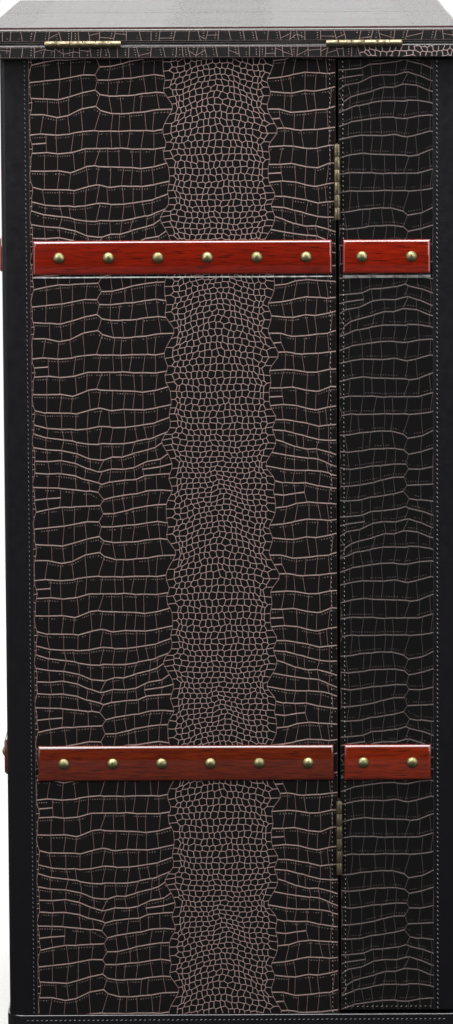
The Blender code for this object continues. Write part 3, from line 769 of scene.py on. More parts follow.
def make_corner_band(node, side, outward):
    """An L of leather round one corner: side is along X and outward along Y."""
    low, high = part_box(node)
    band = block(low, high)
    corner = (high.x if side > 0 else low.x, high.y if outward > 0 else low.y)
    inner = (low.x if side > 0 else high.x, low.y if outward > 0 else high.y)
    choose(band, "polygons", lambda c: min(abs(c.z - low.z), abs(c.z - high.z), abs(c.x - inner[0]),
                                           abs(c.y - inner[1])) < tolerance)
    bpy.ops.mesh.delete(type="FACE")
    close_edit()
    choose(band, "edges", lambda c: max(abs(c.x - corner[0]), abs(c.y - corner[1])) < tolerance)
    bpy.ops.mesh.bevel(offset=band_corner_radius, segments=8)
    close_edit()
    apply_modifier(band, "SOLIDIFY", thickness=band_thickness, offset=-1)
    round_edges(band, band_edge_radius, 3, 50)
    smooth(40)
    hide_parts(node)
    return settle(band, node + "_wrap", calf_leather, nodes[node]["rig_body"])


make_corner_band("left_corner_band", -1, 1)
make_corner_band("right_corner_band", 1, 1)


# Stitching
# Waxed linen thread, five stitches to 25 mm, laid a little aslant as a saddler sews it. The
# rows hold the bands down and run along the free edges of the croc skins.

stitch_pitch = 0.005
stitch_length, stitch_width, stitch_height = 0.0026, 0.0009, 0.0007
saddle_slant, steep_slant = 18, 38


def make_thread(name, colour):
    """Waxed linen, its two plies and its worn places half a millimetre apart."""
    ply_mm = 0.5
    thread, tree, shader = new_material(name, {"Roughness": 0.6})
    place = add_node(tree, "TexCoord").outputs["Object"]
    twist = add_node(tree, "TexNoise", {"Scale": 1000 / ply_mm, "Detail": 2.0, "Vector": place})
    lit = add_node(tree, "MapRange", {"From Min": 0.25, "From Max": 0.5, "Value": twist})
    shade = add_node(tree, "Mix", {"data_type": "RGBA", "A": linear("#2a2728"), "B": linear(colour),
                                   "Factor": lit})
    bump = add_node(tree, "Bump", {"Strength": 0.4, "Distance": 0.0001, "Height": twist})
    link(shader, {"Base Color": shade, "Normal": bump})
    return thread


dark_thread = make_thread("waxed_linen_thread_dark", "#6c686a")
grey_thread = make_thread("waxed_linen_thread_grey", "#989294")
pale_thread = make_thread("waxed_linen_thread_pale", "#b9aaa4")


def repeat(obj, count, step):
    """Copies a piece along a way, the copies a step apart, as one mesh."""
    apply_modifier(obj, "ARRAY", count=count, use_relative_offset=False, use_constant_offset=True,
                   constant_offset_displace=step)


def sew(start, end, out, thread, slant=saddle_slant):
    """A row of stitches on a face between two points; out is the way the face looks."""
    start, end, out = Vector(start), Vector(end), Vector(out)
    run = end - start
    count = int(run.length / stitch_pitch)
    deselect()
    bpy.ops.mesh.primitive_uv_sphere_add(segments=6, ring_count=4, radius=0.5)
    row = bpy.context.object
    stitch = Matrix.Diagonal((stitch_width, stitch_height, stitch_length, 1))
    up = run.normalized()
    lean = Matrix.Rotation(math.radians(slant), 4, out)
    axes = Matrix((up.cross(out), out, up)).transposed().to_4x4()
    row.data.transform(Matrix.Translation(start + up * stitch_pitch / 2) @ lean @ axes @ stitch)
    row.data.update()
    repeat(row, count, up * run.length / count)
    bpy.ops.object.shade_smooth()
    wear(row, thread)
    return row


def join_rows(name, rows, body):
    """All the rows of stitches on one body as one piece, each in its own thread."""
    take(rows[0])
    for row in rows[1:]:
        row.select_set(True)
    bpy.ops.object.join()
    stitches = bpy.context.object
    stitches.name = stitches.data.name = name
    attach(stitches, body)


row_inset = 0.0040
seam_inset, seam_sink = 0.0060, 0.0004
case_low, case_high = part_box("left_corner_band")
case_front_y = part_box("left_side_panel")[0].y
rows = []
for side in (-1, 1):
    band_edge = case_high.y - band_width
    stand = side * case_half_width
    for y, out_x, thread in ((band_edge + row_inset, stand, dark_thread),
                             (case_front_y + seam_inset, stand - side * seam_sink, pale_thread)):
        rows.append(sew((out_x, y, case_low.z), (out_x, y, case_high.z), (side, 0, 0), thread))
    x = side * (back_skin_reach + row_inset)
    rows.append(sew((x, case_high.y, case_low.z), (x, case_high.y, case_high.z), (0, 1, 0), dark_thread))
join_rows("case_stitching", rows, "cabinet")
hem_drop, corner_run = 0.0050, 0.020
level = plinth_high.z - hem_drop
rows = []
for side in (-1, 1):
    face = plinth_high if side > 0 else plinth_low
    rows.append(sew((face.x, plinth_low.y + corner_run, level), (face.x, plinth_high.y - corner_run, level),
                    (side, 0, 0), grey_thread))
    rows.append(sew((plinth_low.x + corner_run, face.y, level), (plinth_high.x - corner_run, face.y, level),
                    (0, side, 0), grey_thread))
join_rows("plinth_stitching", rows, "cabinet")


# Slats and nails
# Ash slats, stained cherry red, bevelled all round and finished in a thick clear lacquer. Each is
# held through the leather by domed nails of antique brass.

slat_stand = 0.0062
# the fold of skin under an upper slat: where it sits off the skin and how far it stands; its pale colour is
# a painted highlight
fold_highlight_base, fold_highlight_stand = 0.0009, 0.0008


def colour_in_patches(tree, shader, patch_mm, detail, pale, dull):
    """Two tones in patches, as handling leaves them on brass and as a painted highlight varies along a fold
    of skin; returns the pattern, from 0 to 1.
    """
    place = add_node(tree, "TexCoord").outputs["Object"]
    patches = add_node(tree, "TexNoise", {"Scale": 1000 / patch_mm, "Detail": detail, "Vector": place})
    spread = add_node(tree, "MapRange", {"From Min": 0.4, "From Max": 0.62, "Value": patches})
    tone = add_node(tree, "Mix", {"data_type": "RGBA", "A": linear(pale), "B": linear(dull),
                                  "Factor": spread})
    link(shader, {"Base Color": tone})
    return spread


def make_painted_fold_highlight(name, pale, dull):
    """A painted highlight on the fold of skin under a slat: pale tones, uneven in patches of some 6 mm."""
    material, tree, shader = new_material(name, {"Roughness": 0.6, "Specular IOR Level": 0.2})
    colour_in_patches(tree, shader, 6.0, 5.0, pale, dull)
    return material


# for the case and the doors: how far the skin's fold hangs under its slat, its height, and its painted
# highlight
painted_fold_highlights = {"case": (0.0024, 0.0014, make_painted_fold_highlight("painted_highlight_on_the_case_skin_fold", "#d4d6d2", "#9a8f8c")),
        "door": (0.0020, 0.0030, make_painted_fold_highlight("raw_edge_of_the_door_skin", "#8c8b8d", "#5a5859"))}
fine_edge = 0.0003
slat_bevel = 0.0029
nail_radius, nail_height, nail_pitch, nail_margin = 0.0060, 0.0038, 0.052, 0.019
nail_sink, nail_clearance = 0.0006, 0.00002
lacquer = {"Roughness": 0.45, "Specular IOR Level": 0.04, "Coat Weight": 1.0, "Coat Roughness": 0.07,
           "Coat IOR": 1.75}
slat_tones = {"upper": ("#861902", "#661001", "#320801"), "lower": ("#6c2207", "#501504", "#240902"),
              "upper_door": ("#911c02", "#6f1101", "#380901"),
              "lower_door": ("#842504", "#621702", "#2c0b01")}
slat_woods = {}
for tone, colours in slat_tones.items():
    for along in "XY":
        slat_woods[tone, along] = make_veneer(f"lacquered_ash_{tone}_{along.lower()}", along, *colours,
                                              lacquer, grain_mm=2.2, pore_mm=0.7)


def make_antique_brass(name, bright, dull, roughness):
    """Brass browned by handling: bare metal with duller tarnish in patches of some 5 mm."""
    polish, tarnish = 0.08, 0.12
    material, tree, shader = new_material(name, {"Metallic": 1.0, "Roughness": roughness})
    spread = colour_in_patches(tree, shader, 5.0, 6.0, bright, dull)
    worn = add_node(tree, "MapRange", {"To Min": roughness - polish, "To Max": roughness + tarnish,
                                       "Value": spread})
    link(shader, {"Roughness": worn})
    return material


nail_brass = make_antique_brass("antique_brass_nails", "#8a8562", "#6b6648", 0.46)


def facing(node):
    """Which way a slat looks, and the way its length runs, from the thin side of its box."""
    low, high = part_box(node)
    middle = (low + high) / 2
    if high.x - low.x < high.y - low.y:
        side = 1 if middle.x > 0 else -1
        return Vector((side, 0, 0)), Vector(across_side[side])
    side = 1 if middle.y > 0 else -1
    return Vector((0, side, 0)), Vector((-side, 0, 0))


def make_slat(node, tone):
    """A slat with its row of nails, and under an upper slat a fold of the skin with a painted highlight."""
    low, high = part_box(node)
    out, across = facing(node)
    length = abs((high - low) @ across)
    height = high.z - low.z
    middle = (low + high) / 2
    base = middle - out * abs((high - low) @ out) / 2
    slat = block((-length / 2, -height / 2, 0), (length / 2, height / 2, slat_stand))
    choose(slat, "edges", lambda c: c.z > slat_stand - tolerance)
    bpy.ops.mesh.bevel(offset=slat_bevel, segments=4, profile=0.36)
    close_edit()
    round_edges(slat, fine_edge, 2, 40)
    smooth(35)
    lay(slat, base, across, (0, 0, 1), out)
    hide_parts(node)
    body = nodes[node]["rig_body"]
    settle(slat, node + "_wood", slat_woods[tone, "Y" if abs(across.y) > 0.5 else "X"], body)
    count = 1 + int((length - 2 * nail_margin) / nail_pitch)
    deselect()
    bpy.ops.mesh.primitive_uv_sphere_add(segments=24, ring_count=12, radius=1)
    nails = bpy.context.object
    nails.scale = (nail_radius, nail_radius, nail_height + nail_sink)
    nails.location = (-(count - 1) / 2 * nail_pitch, 0, slat_stand - nail_sink)
    bpy.ops.object.transform_apply(location=True, rotation=True, scale=True)
    open_all()
    bpy.ops.mesh.bisect(plane_co=(0, 0, slat_stand + nail_clearance), plane_no=(0, 0, -1), clear_outer=True,
                        use_fill=True)
    close_edit()
    smooth(50)
    repeat(nails, count, (nail_pitch, 0, 0))
    lay(nails, base, across, (0, 0, 1), out)
    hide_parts(node)
    settle(nails, node + "_nails", nail_brass, body)
    # under an upper slat, a fold of the skin whose pale colour is a painted highlight where it catches the
    # light from above
    if "upper" in node:
        drop, fold_highlight_height, finish = painted_fold_highlights["door" if "door" in node else "case"]
        fold_highlight_top = -height / 2 - drop
        fold_highlight = block((-length / 2, fold_highlight_top - fold_highlight_height, 0), (length / 2, fold_highlight_top, fold_highlight_stand))
        round_edges(fold_highlight, fine_edge, 2)
        smooth(35)
        lay(fold_highlight, base + out * fold_highlight_base, across, (0, 0, 1), out)
        settle(fold_highlight, node + "_painted_fold_highlight", finish, body)


for name in sorted(nodes):
    if name.endswith("slat"):
        make_slat(name, ("upper" if "upper" in name else "lower") + ("_door" if "door" in name else ""))


# Doors
# Each door is a shallow box: a croc covered front and side, a veneered frame and two shelves
# inside. Smooth bands wrap its outer corner and the edge where the doors meet.

door_seam_inset = 0.0045
door_hem = 0.004
meeting_band_width = 0.025
centre_half_gap = 0.00075
door_half_width = case_half_width - leather_stand
side_plate_right, side_plate_top = 0.0705 - joint_line, 0.660
front_plate_shift = 0.02
board_tolerance = 1e-4


def dress_door(side, word):
    """All that covers a door: its boards' finishes, skins, bands and stitching."""
    door = f"{word}_door"
    low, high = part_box(f"{door}_panel")
    back_low, back_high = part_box(f"{door}_frame")
    paint_faces(f"{door}_panel", calf_leather, upright_veneer, lambda c, n: n[1] == 1)
    paint_faces(f"{door}_frame", upright_veneer, calf_leather, lambda c, n: n[1] == 1 or min(
        abs(c.x - side * door_half_width), abs(c.x - side * centre_half_gap),
        c.z - back_low.z, back_high.z - c.z) < board_tolerance)
    for shelf in ("upper", "lower"):
        wear(nodes[f"{door}_{shelf}_shelf"], level_veneer)
    height = high.z - low.z - 2 * skin_end_gap
    front = low.y - leather_stand
    rear = back_high.y - skin_end_gap
    width = rear - (front + band_width)
    cut = cut_from_plate(width, height, side_plate_right - width, side_plate_top - low.z - height,
                         turned=True)
    skin = croc_skin(width, height, cut, seams=(width if side < 0 else 0.0,))
    face = side * (door_half_width + skin_gap)
    lay(skin, (face, rear if side < 0 else rear - width, low.z + skin_end_gap), across_side[side],
        (0, 0, 1), (side, 0, 0))
    settle(skin, f"{door}_side_skin", door_croc_leather, door)
    near = centre_half_gap + meeting_band_width
    width = back_skin_reach - near
    cut = cut_from_plate(width, height, -width / 2 - front_plate_shift * side, low.z - plate_start_height)
    skin = croc_skin(width, height, cut, seams=(0.0, width))
    lay(skin, (near if side > 0 else -back_skin_reach, low.y - skin_gap, low.z + skin_end_gap),
        (1, 0, 0), (0, 0, 1), (0, -1, 0))
    settle(skin, f"{door}_front_skin", door_croc_leather, door)
    make_corner_band(f"{door}_corner_band", side, -1)
    ends = sorted((side * centre_half_gap, side * near))
    band = block((ends[0], front, low.z), (ends[1], low.y - skin_gap, high.z))
    round_edges(band, band_edge_radius, 3)
    smooth(40)
    settle(band, f"{door}_meeting_band", calf_leather, door)
    flat = side * (case_half_width - seam_sink)
    raised = side * case_half_width
    inner = side * (near - row_inset)
    outer = side * (back_skin_reach + row_inset)
    edge = front + band_width - row_inset
    base, top = low.z, high.z
    seam, hem = rear - door_seam_inset, low.z + door_hem
    rows = [sew((flat, seam, base), (flat, seam, top), (side, 0, 0), pale_thread),
            sew((raised, edge, base), (raised, edge, top), (side, 0, 0), grey_thread, steep_slant),
            sew((outer, front, base), (outer, front, top), (0, -1, 0), grey_thread),
            sew((inner, front, base), (inner, front, top), (0, -1, 0), grey_thread),
            sew((flat, seam, hem), (flat, edge, hem), (side, 0, 0), pale_thread)]
    join_rows(f"{door}_stitching", rows, door)


dress_door(-1, "left")
dress_door(1, "right")


# Door knobs and bottle rails
# Turned brass knobs on flat roses, drawn brass rods across the doors' lower shelves, and the
# brass catch that holds both doors shut with its magnets.

hinge_brass = make_antique_brass("antique_brass_hinges", "#847a62", "#554c3c", 0.45)
# half of a knob's outline, foot to head: radius and height in metres
knob_profile = [(0.0, 0.0), (0.0110, 0.0), (0.0112, 0.0010), (0.0108, 0.0024), (0.0096, 0.0030),
                (0.0070, 0.0034), (0.0055, 0.0048), (0.0050, 0.0080), (0.0054, 0.0110), (0.0066, 0.0126),
                (0.0090, 0.0138), (0.0111, 0.0160), (0.0119, 0.0185), (0.0117, 0.0210), (0.0102, 0.0230),
                (0.0076, 0.0244), (0.0040, 0.0251), (0.0, 0.0252)]


def make_knob(node):
    """A knob spun from its half profile, its foot on the band and its head towards the viewer."""
    low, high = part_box(node)
    mesh = bpy.data.meshes.new(node)
    mesh.from_pydata([(radius, 0, z) for radius, z in knob_profile],
                     [(k, k + 1) for k in range(len(knob_profile) - 1)], [])
    knob = bpy.data.objects.new(node, mesh)
    bpy.context.scene.collection.objects.link(knob)
    take(knob)
    open_all()
    bpy.ops.mesh.spin(steps=36, angle=2 * math.pi, center=(0, 0, 0), axis=(0, 0, 1))
    bpy.ops.mesh.select_all(action="SELECT")
    bpy.ops.mesh.remove_doubles(threshold=tolerance)
    bpy.ops.mesh.normals_make_consistent(inside=False)
    close_edit()
    smooth(40)
    lay(knob, ((low.x + high.x) / 2, high.y, (low.z + high.z) / 2), (1, 0, 0), (0, 0, 1), (0, -1, 0))
    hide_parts(node)
    settle(knob, node + "_turned", hinge_brass, nodes[node]["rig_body"])


for name in ("left_door_knob", "right_door_knob"):
    make_knob(name)
for name in ("left_door_bottle_rail", "right_door_bottle_rail", "door_catch"):
    wear(nodes[name], hinge_brass)


# Hinges
# Butt hinges of antique brass. Their leaves lie in the gaps, and the barrel of six knuckles
# stands outside. The fixed half carries the pin, whose heads show at both ends.

hinge_length, hinge_plate, knuckle_count, knuckle_gap = 0.080, 0.00105, 6, 0.0008
door_barrel, lid_barrel = 0.0032, 0.0036
pin_radius, touch = 0.0015, 0.0003
knuckle_edge, pin_dome = 0.00015, 0.0004


def make_hinge_half(node, radius, axis, lift):
    """Half a hinge: a leaf that reaches into the gap and its own knuckles round the axis."""
    low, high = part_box(node)
    side = -1 if low.x < 0 else 1
    axis, out = Vector(axis), Vector((-side, 0, 0))
    turn = axis.cross(out)
    layer = 1 if turn.dot(Vector(lift)) > 0 else -1
    middle = (low + high) / 2
    middle.x = (low.x if side < 0 else high.x) - side * radius
    width = high.x - low.x - radius
    teeth = range(0, knuckle_count, 2) if "fixed" in node else range(1, knuckle_count, 2)
    pitch = hinge_length / knuckle_count
    faces = sorted((layer * touch / 2, layer * (touch / 2 + hinge_plate)))
    half = hinge_length / 2
    pieces = [block((radius + 2 * touch, faces[0], -half), (width, faces[1], half))]
    for k in teeth:
        foot, head = -half + k * pitch + knuckle_gap / 2, -half + (k + 1) * pitch - knuckle_gap / 2
        pieces.append(block((radius / 2, faces[0], foot), (radius + 3 * touch, faces[1], head)))
        deselect()
        bpy.ops.mesh.primitive_cylinder_add(vertices=28, radius=radius, depth=head - foot,
                                            location=(0, 0, (foot + head) / 2))
        bpy.ops.object.transform_apply(location=True)
        pieces.append(bpy.context.object)
        round_edges(pieces[-1], knuckle_edge, 2, 60)
    if "fixed" in node:
        deselect()
        bpy.ops.mesh.primitive_cylinder_add(vertices=20, radius=pin_radius, depth=hinge_length)
        pieces.append(bpy.context.object)
        round_edges(pieces[-1], pin_dome, 3, 60)
    take(pieces[0])
    for piece in pieces[1:]:
        piece.select_set(True)
    bpy.ops.object.join()
    hinge = bpy.context.object
    smooth(40)
    lay(hinge, middle, out, turn, axis)
    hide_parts(node)
    settle(hinge, node + "_brass", hinge_brass, nodes[node]["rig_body"])


for word in ("left", "right"):
    for kind, way in (("fixed", 1), ("moving", -1)):
        for row in ("upper", "lower"):
            make_hinge_half(f"{word}_door_{row}_{kind}_hinge", door_barrel, (0, 0, 1), (0, way, 0))
        for row in ("back", "front"):
            make_hinge_half(f"{word}_lid_{row}_{kind}_hinge", lid_barrel, (0, 1, 0), (0, 0, -way))


# Top board and folding leaves
# A fixed top board and two leaves that fold out over it. Each is wrapped in smooth leather at
# its rounded edges, with croc strips round its sides, and a croc panel raised on each leaf.

edge_round = 0.0013
strip_stand = 0.00045
strip_base = 0.00005
strip_margin = 0.0017
# a strip's pattern: its shortest and longest scale, and the share of its scales that are halved
board_pattern, leaf_pattern = (0.006, 0.014, 0.5), (0.007, 0.017, 0.35)
board_seed, rest_seed, leaf_seeds = 31, 37, {"left": 43, "right": 63}


def make_wrap(node, low, high):
    """The smooth leather round a board, rounded at its edges."""
    wrap = block(low, high)
    round_edges(wrap, edge_round, 4)
    smooth(40)
    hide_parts(node)
    return settle(wrap, node + "_wrap", burnished_leather, nodes[node]["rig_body"])


def strip_scales(seed, length, height, shortest, longest, halved):
    """The scales of a narrow strip cut along the hide: uprights a little aslant, some scales halved."""
    overrun, lean, split_range = 0.004, 0.0014, (0.12, 0.88)
    rng = random.Random(seed)
    places = [-overrun]
    while places[-1] < length + overrun:
        places.append(places[-1] + rng.uniform(shortest, longest))
    leans = [rng.uniform(-lean, lean) for place in places]
    waists = [[] for place in places]
    splits = []
    for k in range(len(places) - 1):
        split = (rng.uniform(*split_range), rng.uniform(*split_range)) if rng.random() < halved else None
        splits.append(split)
        if split:
            waists[k].append(split[0])
            waists[k + 1].append(split[1])
    cut = []
    for k, split in enumerate(splits):
        left, right = [0.0] + sorted(waists[k]) + [1.0], [0.0] + sorted(waists[k + 1]) + [1.0]
        parts = [(left, right)]
        if split:
            parts = [([s for s in left if s <= split[0]], [s for s in right if s <= split[1]]),
                     ([s for s in left if s >= split[0]], [s for s in right if s >= split[1]])]
        for left_part, right_part in parts:
            ring = [(k + 1, share) for share in right_part] + [(k, share) for share in left_part[::-1]]
            spots = [(places[n] + leans[n] * (2 * share - 1), height * share) for n, share in ring]
            pits = [(height * share * 1000, (places[k + 1] - places[n]) * 1000) for n, share in ring]
            cut.append((spots, pits, "strip"))
    return cut


edge_croc_leather = make_croc_leather("embossed_two_tone_croc_leather_of_the_edges", "#242323", "#5a4643",
                                      "#bda8a3")


def edge_strip(name, corner, along, out, length, height, cut, body):
    """A croc strip on a board's edge, from its corner along a way, standing up from it."""
    corner, along, out = Vector(corner), Vector(along), Vector(out)
    strip = croc_skin(length, height, cut, thickness=strip_base, rim=0.0)
    if along.cross(Vector((0, 0, 1))).dot(out) > 0:
        lay(strip, corner, along, (0, 0, 1), out)
    else:
        lay(strip, corner + along * length, -along, (0, 0, 1), out)
    settle(strip, name, edge_croc_leather, body)


def edge_strips(word, low, high, body, sides, seed, pattern):
    """Strips round a board: low and high are its wrap's corners."""
    base, height = low.z + strip_margin, high.z - low.z - 2 * strip_margin
    depth, width = high.y - low.y - 2 * edge_round, high.x - low.x - 2 * edge_round
    runs = {"left": ((low.x, low.y + edge_round, base), (0, 1, 0), (-1, 0, 0), depth),
            "right": ((high.x, low.y + edge_round, base), (0, 1, 0), (1, 0, 0), depth),
            "front": ((low.x + edge_round, low.y, base), (1, 0, 0), (0, -1, 0), width),
            "back": ((low.x + edge_round, high.y, base), (1, 0, 0), (0, 1, 0), width)}
    for number, name in enumerate(sides):
        corner, along, out, length = runs[name]
        cut = strip_scales(seed + number, length, height, *pattern)
        edge_strip(f"{word}_{name}_strip", corner, along, out, length, height, cut, body)


board_low, board_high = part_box("top_board")
shrink = Vector((strip_stand, strip_stand, 0))
board_low, board_high = board_low + shrink, board_high - shrink
make_wrap("top_board", board_low, board_high)
edge_strips("top_board", board_low, board_high, "cabinet", ("right", "front", "back"), board_seed,
            board_pattern)
# The left edge is pieced: its front 106 mm are cut across the belly, and the rest from a flank.
net_length, net_plate_height = 0.106, 0.05
strip_height = board_high.z - board_low.z - 2 * strip_margin
net_cut = cut_from_plate(net_length, strip_height, -net_length / 2, net_plate_height)
rest_length = board_high.y - board_low.y - 2 * edge_round - net_length
rest_cut = strip_scales(rest_seed, rest_length, strip_height, *board_pattern)
start = board_low + Vector((0, edge_round, strip_margin))
edge_strip("top_board_left_front_strip", start, (0, 1, 0), (-1, 0, 0), net_length, strip_height, net_cut,
           "cabinet")
start.y += net_length
edge_strip("top_board_left_strip", start, (0, 1, 0), (-1, 0, 0), rest_length, strip_height, rest_cut,
           "cabinet")
worn_relief = 0.5
# The top is worn nearly flat and lies in soft dents, some 7 mm apart.
top_croc_leather = make_croc_leather("embossed_two_tone_croc_leather_of_the_top", "#100f0f", "#4c3633",
                                     "#a18c87", grain_mm=7.0, grain=1.0, relief=0.0010)
leaf_step, panel_margin, panel_centre_margin = 0.002, 0.004, 0.0002


def dress_leaf(side, word):
    """A leaf's wrap, the strips on its three outer edges and its raised croc panel."""
    leaf = f"{word}_leaf"
    low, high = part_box(f"{leaf}_board")
    panel_low, panel_high = low.copy(), high.copy()
    low += Vector((strip_stand if side < 0 else 0, strip_stand, 0))
    high -= Vector((strip_stand if side > 0 else 0, strip_stand, leaf_step))
    make_wrap(f"{leaf}_board", low, high)
    edge_strips(leaf, low, high, leaf, (word, "front", "back"), leaf_seeds[word], leaf_pattern)
    start = panel_low.x + (panel_margin if side < 0 else panel_centre_margin)
    end = panel_high.x - (panel_centre_margin if side < 0 else panel_margin)
    width = panel_high.y - panel_low.y - 2 * panel_margin
    cut = cut_from_plate(width, end - start, -(panel_high.y - panel_margin - belly_middle_y), start)
    base_height = leaf_step - groove_depth
    panel = croc_skin(width, end - start, cut, thickness=base_height)
    choose(panel, "vertices", lambda c: c.z > base_height - tolerance)
    bpy.ops.transform.resize(value=(1, 1, worn_relief), center_override=(0, 0, leaf_step))
    close_edit()
    lay(panel, (start, panel_high.y - panel_margin, panel_high.z - leaf_step), (0, -1, 0), (1, 0, 0),
        (0, 0, 1))
    settle(panel, f"{leaf}_panel_skin", top_croc_leather, leaf)


dress_leaf(-1, "left")
dress_leaf(1, "right")


# Suede liners between the leaves and the top board
# Thin grey suede glued on both faces of the gap, so that the folded leaves lie soft. Each is
# cut out round the hinges.

suede_thickness, suede_inset, suede_gap, hinge_clearance = 0.0007, 0.0008, 0.0001, 0.0006
# The nap itself is finer: it is drawn 1.5 mm coarse so that it shows, and brushed over 45 mm.
nap_mm, stroke_mm = 1.5, 45.0
suede, tree, shader = new_material("grey_suede", {"Roughness": 0.95, "Specular IOR Level": 0.1})
place = add_node(tree, "TexCoord").outputs["Object"]
nap = add_node(tree, "TexNoise", {"Scale": 1000 / nap_mm, "Detail": 4.0, "Vector": place})
strokes = add_node(tree, "TexNoise", {"Scale": 1000 / stroke_mm, "Detail": 3.0, "Vector": place})
both = add_node(tree, "Math", {"operation": "ADD", 0: nap, 1: strokes})
brushed = add_node(tree, "MapRange", {"From Min": 0.65, "From Max": 1.35, "Value": both})
shade = add_node(tree, "Mix", {"data_type": "RGBA", "A": linear("#4c4a48"), "B": linear("#716e6b"),
                               "Factor": brushed})
link(shader, {"Base Color": shade})


def line_with_suede(name, low, high, body):
    """A sheet of suede between two corners, cut out round every hinge that reaches it."""
    sheet = block(low, high)
    round_edges(sheet, fine_edge, 2)
    for node in sorted(nodes):
        if "lid" in node and "hinge" in node:
            hinge_low, hinge_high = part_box(node)
            room = Vector((hinge_clearance,) * 3)
            cutter = block(hinge_low - room, hinge_high + room)
            apply_modifier(sheet, "BOOLEAN", operation="DIFFERENCE", solver="EXACT", object=cutter)
            bpy.data.objects.remove(cutter)
    smooth(30)
    settle(sheet, name, suede, body)


liner_low = board_low + Vector((suede_inset, suede_inset, 0))
liner_high = board_high - Vector((suede_inset, suede_inset, 0))
liner_low.z = board_high.z + suede_gap
liner_high.z = liner_low.z + suede_thickness
line_with_suede("top_board_liner", liner_low, liner_high, "cabinet")
for side, word in ((-1, "left"), (1, "right")):
    leaf_low, leaf_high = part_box(f"{word}_leaf_board")
    low, high = liner_low.copy(), liner_high.copy()
    if side < 0:
        high.x = leaf_high.x - suede_inset
    else:
        low.x = leaf_low.x + suede_inset
    high.z = leaf_low.z - suede_gap
    low.z = high.z - suede_thickness
    line_with_suede(f"{word}_leaf_liner", low, high, f"{word}_leaf")


# Studio
# A pale floor, soft lamps and a white backdrop round the cabinet, and the camera.

floor_radius, floor_glow = 3.0, 0.35
deselect()
bpy.ops.mesh.primitive_circle_add(vertices=96, radius=floor_radius, fill_type="NGON", location=(0, 0, 0))
floor = bpy.context.object
floor.name = "floor"
paint, tree, shader = new_material("pale_matt_floor", {"Roughness": 0.9, "Specular IOR Level": 0.1,
                                                       "Emission Color": (1, 1, 1, 1)})
to_camera = add_node(tree, "LightPath").outputs["Is Camera Ray"]
tone = add_node(tree, "Mix", {"data_type": "RGBA", "A": linear("#48484a"), "B": linear("#e4e3e0"),
                              "Factor": to_camera})
glow = add_node(tree, "Math", {"operation": "MULTIPLY", 1: floor_glow, 0: to_camera})
link(shader, {"Base Color": tone, "Emission Strength": glow})
wear(floor, paint)

# The world is white to the camera. Glossy rays see soft panels of light in it: for each, the axis,
# where on it the panel's edge starts and ends, and its strength at both. Other rays get the fill.
world_fill = 0.4
panels = {"away": ("X", 0.0, 0.8, 0.03, 0.45), "far": ("X", 0.3, 0.8, 0.0, 3.0),
          "raised": ("Z", 0.0, 0.25, 0.0, 1.0), "above": ("Z", 0.5, 0.85, 0.0, 7.0),
          "right": ("Y", -0.55, -0.95, 0.0, 1.7), "left": ("Y", 0.55, 0.95, 0.0, 1.1)}
world = bpy.data.worlds.new("studio")
bpy.context.scene.world = world
world.use_nodes = True
tree = world.node_tree
background = tree.nodes["Background"]
background.inputs["Color"].default_value = (1, 1, 1, 1)
path = add_node(tree, "LightPath")
direction = add_node(tree, "TexCoord").outputs["Generated"]
parts = add_node(tree, "SeparateXYZ", {"Vector": direction})
light = {}
for name, (axis, start, end, least, most) in panels.items():
    light[name] = add_node(tree, "MapRange", {"interpolation_type": "SMOOTHSTEP", "From Min": start,
                                              "From Max": end, "To Min": least, "To Max": most,
                                              "Value": parts.outputs[axis]})
brightest = add_node(tree, "Math", {"operation": "MULTIPLY", 0: light["far"], 1: light["raised"]})
for name in ("away", "above", "right", "left"):
    brightest = add_node(tree, "Math", {"operation": "MAXIMUM", 0: brightest, 1: light[name]})
seen = add_node(tree, "Math", {"operation": "MAXIMUM", 0: path.outputs["Is Camera Ray"],
                               1: path.outputs["Is Transmission Ray"]})
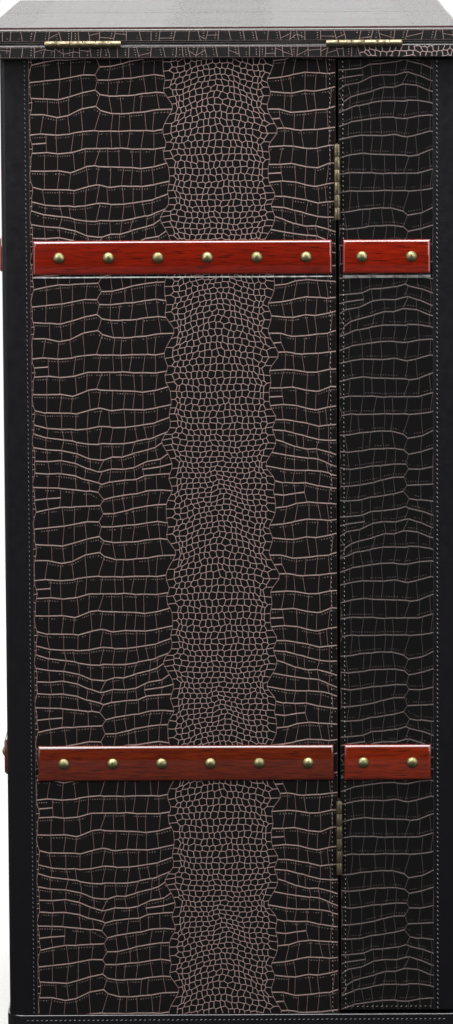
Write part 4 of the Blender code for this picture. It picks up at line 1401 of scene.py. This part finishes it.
shiny = add_node(tree, "Math", {"operation": "MULTIPLY", 0: path.outputs["Is Glossy Ray"], 1: brightest})
both = add_node(tree, "Math", {"operation": "MAXIMUM", 0: seen, 1: shiny})
filled = add_node(tree, "Math", {"operation": "MAXIMUM", 1: world_fill, 0: both})
strength = add_node(tree, "Mix", {"data_type": "FLOAT", "Factor": path.outputs["Is Glossy Ray"],
                                  "A": filled, "B": both})
link(background, {"Strength": strength})


def add_softbox(name, place, aim, size, power):
    """A rectangular soft lamp that faces a point."""
    bpy.ops.object.light_add(type="AREA", location=place)
    lamp = bpy.context.object
    lamp.name = name
    lamp.data.shape = "RECTANGLE"
    lamp.data.size, lamp.data.size_y = size
    lamp.data.energy = power
    lamp.rotation_mode = "QUATERNION"
    lamp.rotation_quaternion = (Vector(aim) - Vector(place)).to_track_quat("-Z", "Y")
    return lamp


shown_side, case_middle = (-0.3, 0.0, 0.9), (0.0, 0.0, 0.6)
add_softbox("overhead_strip", (-1.0, 0.0, 3.0), shown_side, (2.6, 0.5), 42)
add_softbox("left_softbox", (-2.6, 2.2, 2.1), shown_side, (1.2, 1.8), 60)
add_softbox("right_softbox", (-2.6, -2.2, 2.1), shown_side, (1.2, 1.8), 46)
far_softbox = add_softbox("far_softbox", (2.6, 0.0, 2.2), case_middle, (1.8, 1.8), 30)
far_softbox.visible_glossy = False

lens_pixels, frame_long_side = 4370, 1024
camera_pitch, camera_roll = 5.65, -0.285
camera_place, camera_shift = (-4.872, -0.029, 1.386), (-0.036, -0.28)
camera_data = bpy.data.cameras.new("camera")
camera = bpy.data.objects.new("camera", camera_data)
bpy.context.scene.collection.objects.link(camera)
bpy.context.scene.camera = camera
camera_data.lens = lens_pixels / frame_long_side * camera_data.sensor_width
camera.location = camera_place
camera.rotation_euler = (math.radians(90 - camera_pitch), 0.0, math.radians(-90))
camera.matrix_world = camera.matrix_basis @ Matrix.Rotation(math.radians(camera_roll), 4, "Z")
camera_data.shift_x, camera_data.shift_y = camera_shift
camera_data.clip_end = 100.0
bpy.context.scene.view_settings.view_transform = "Standard"
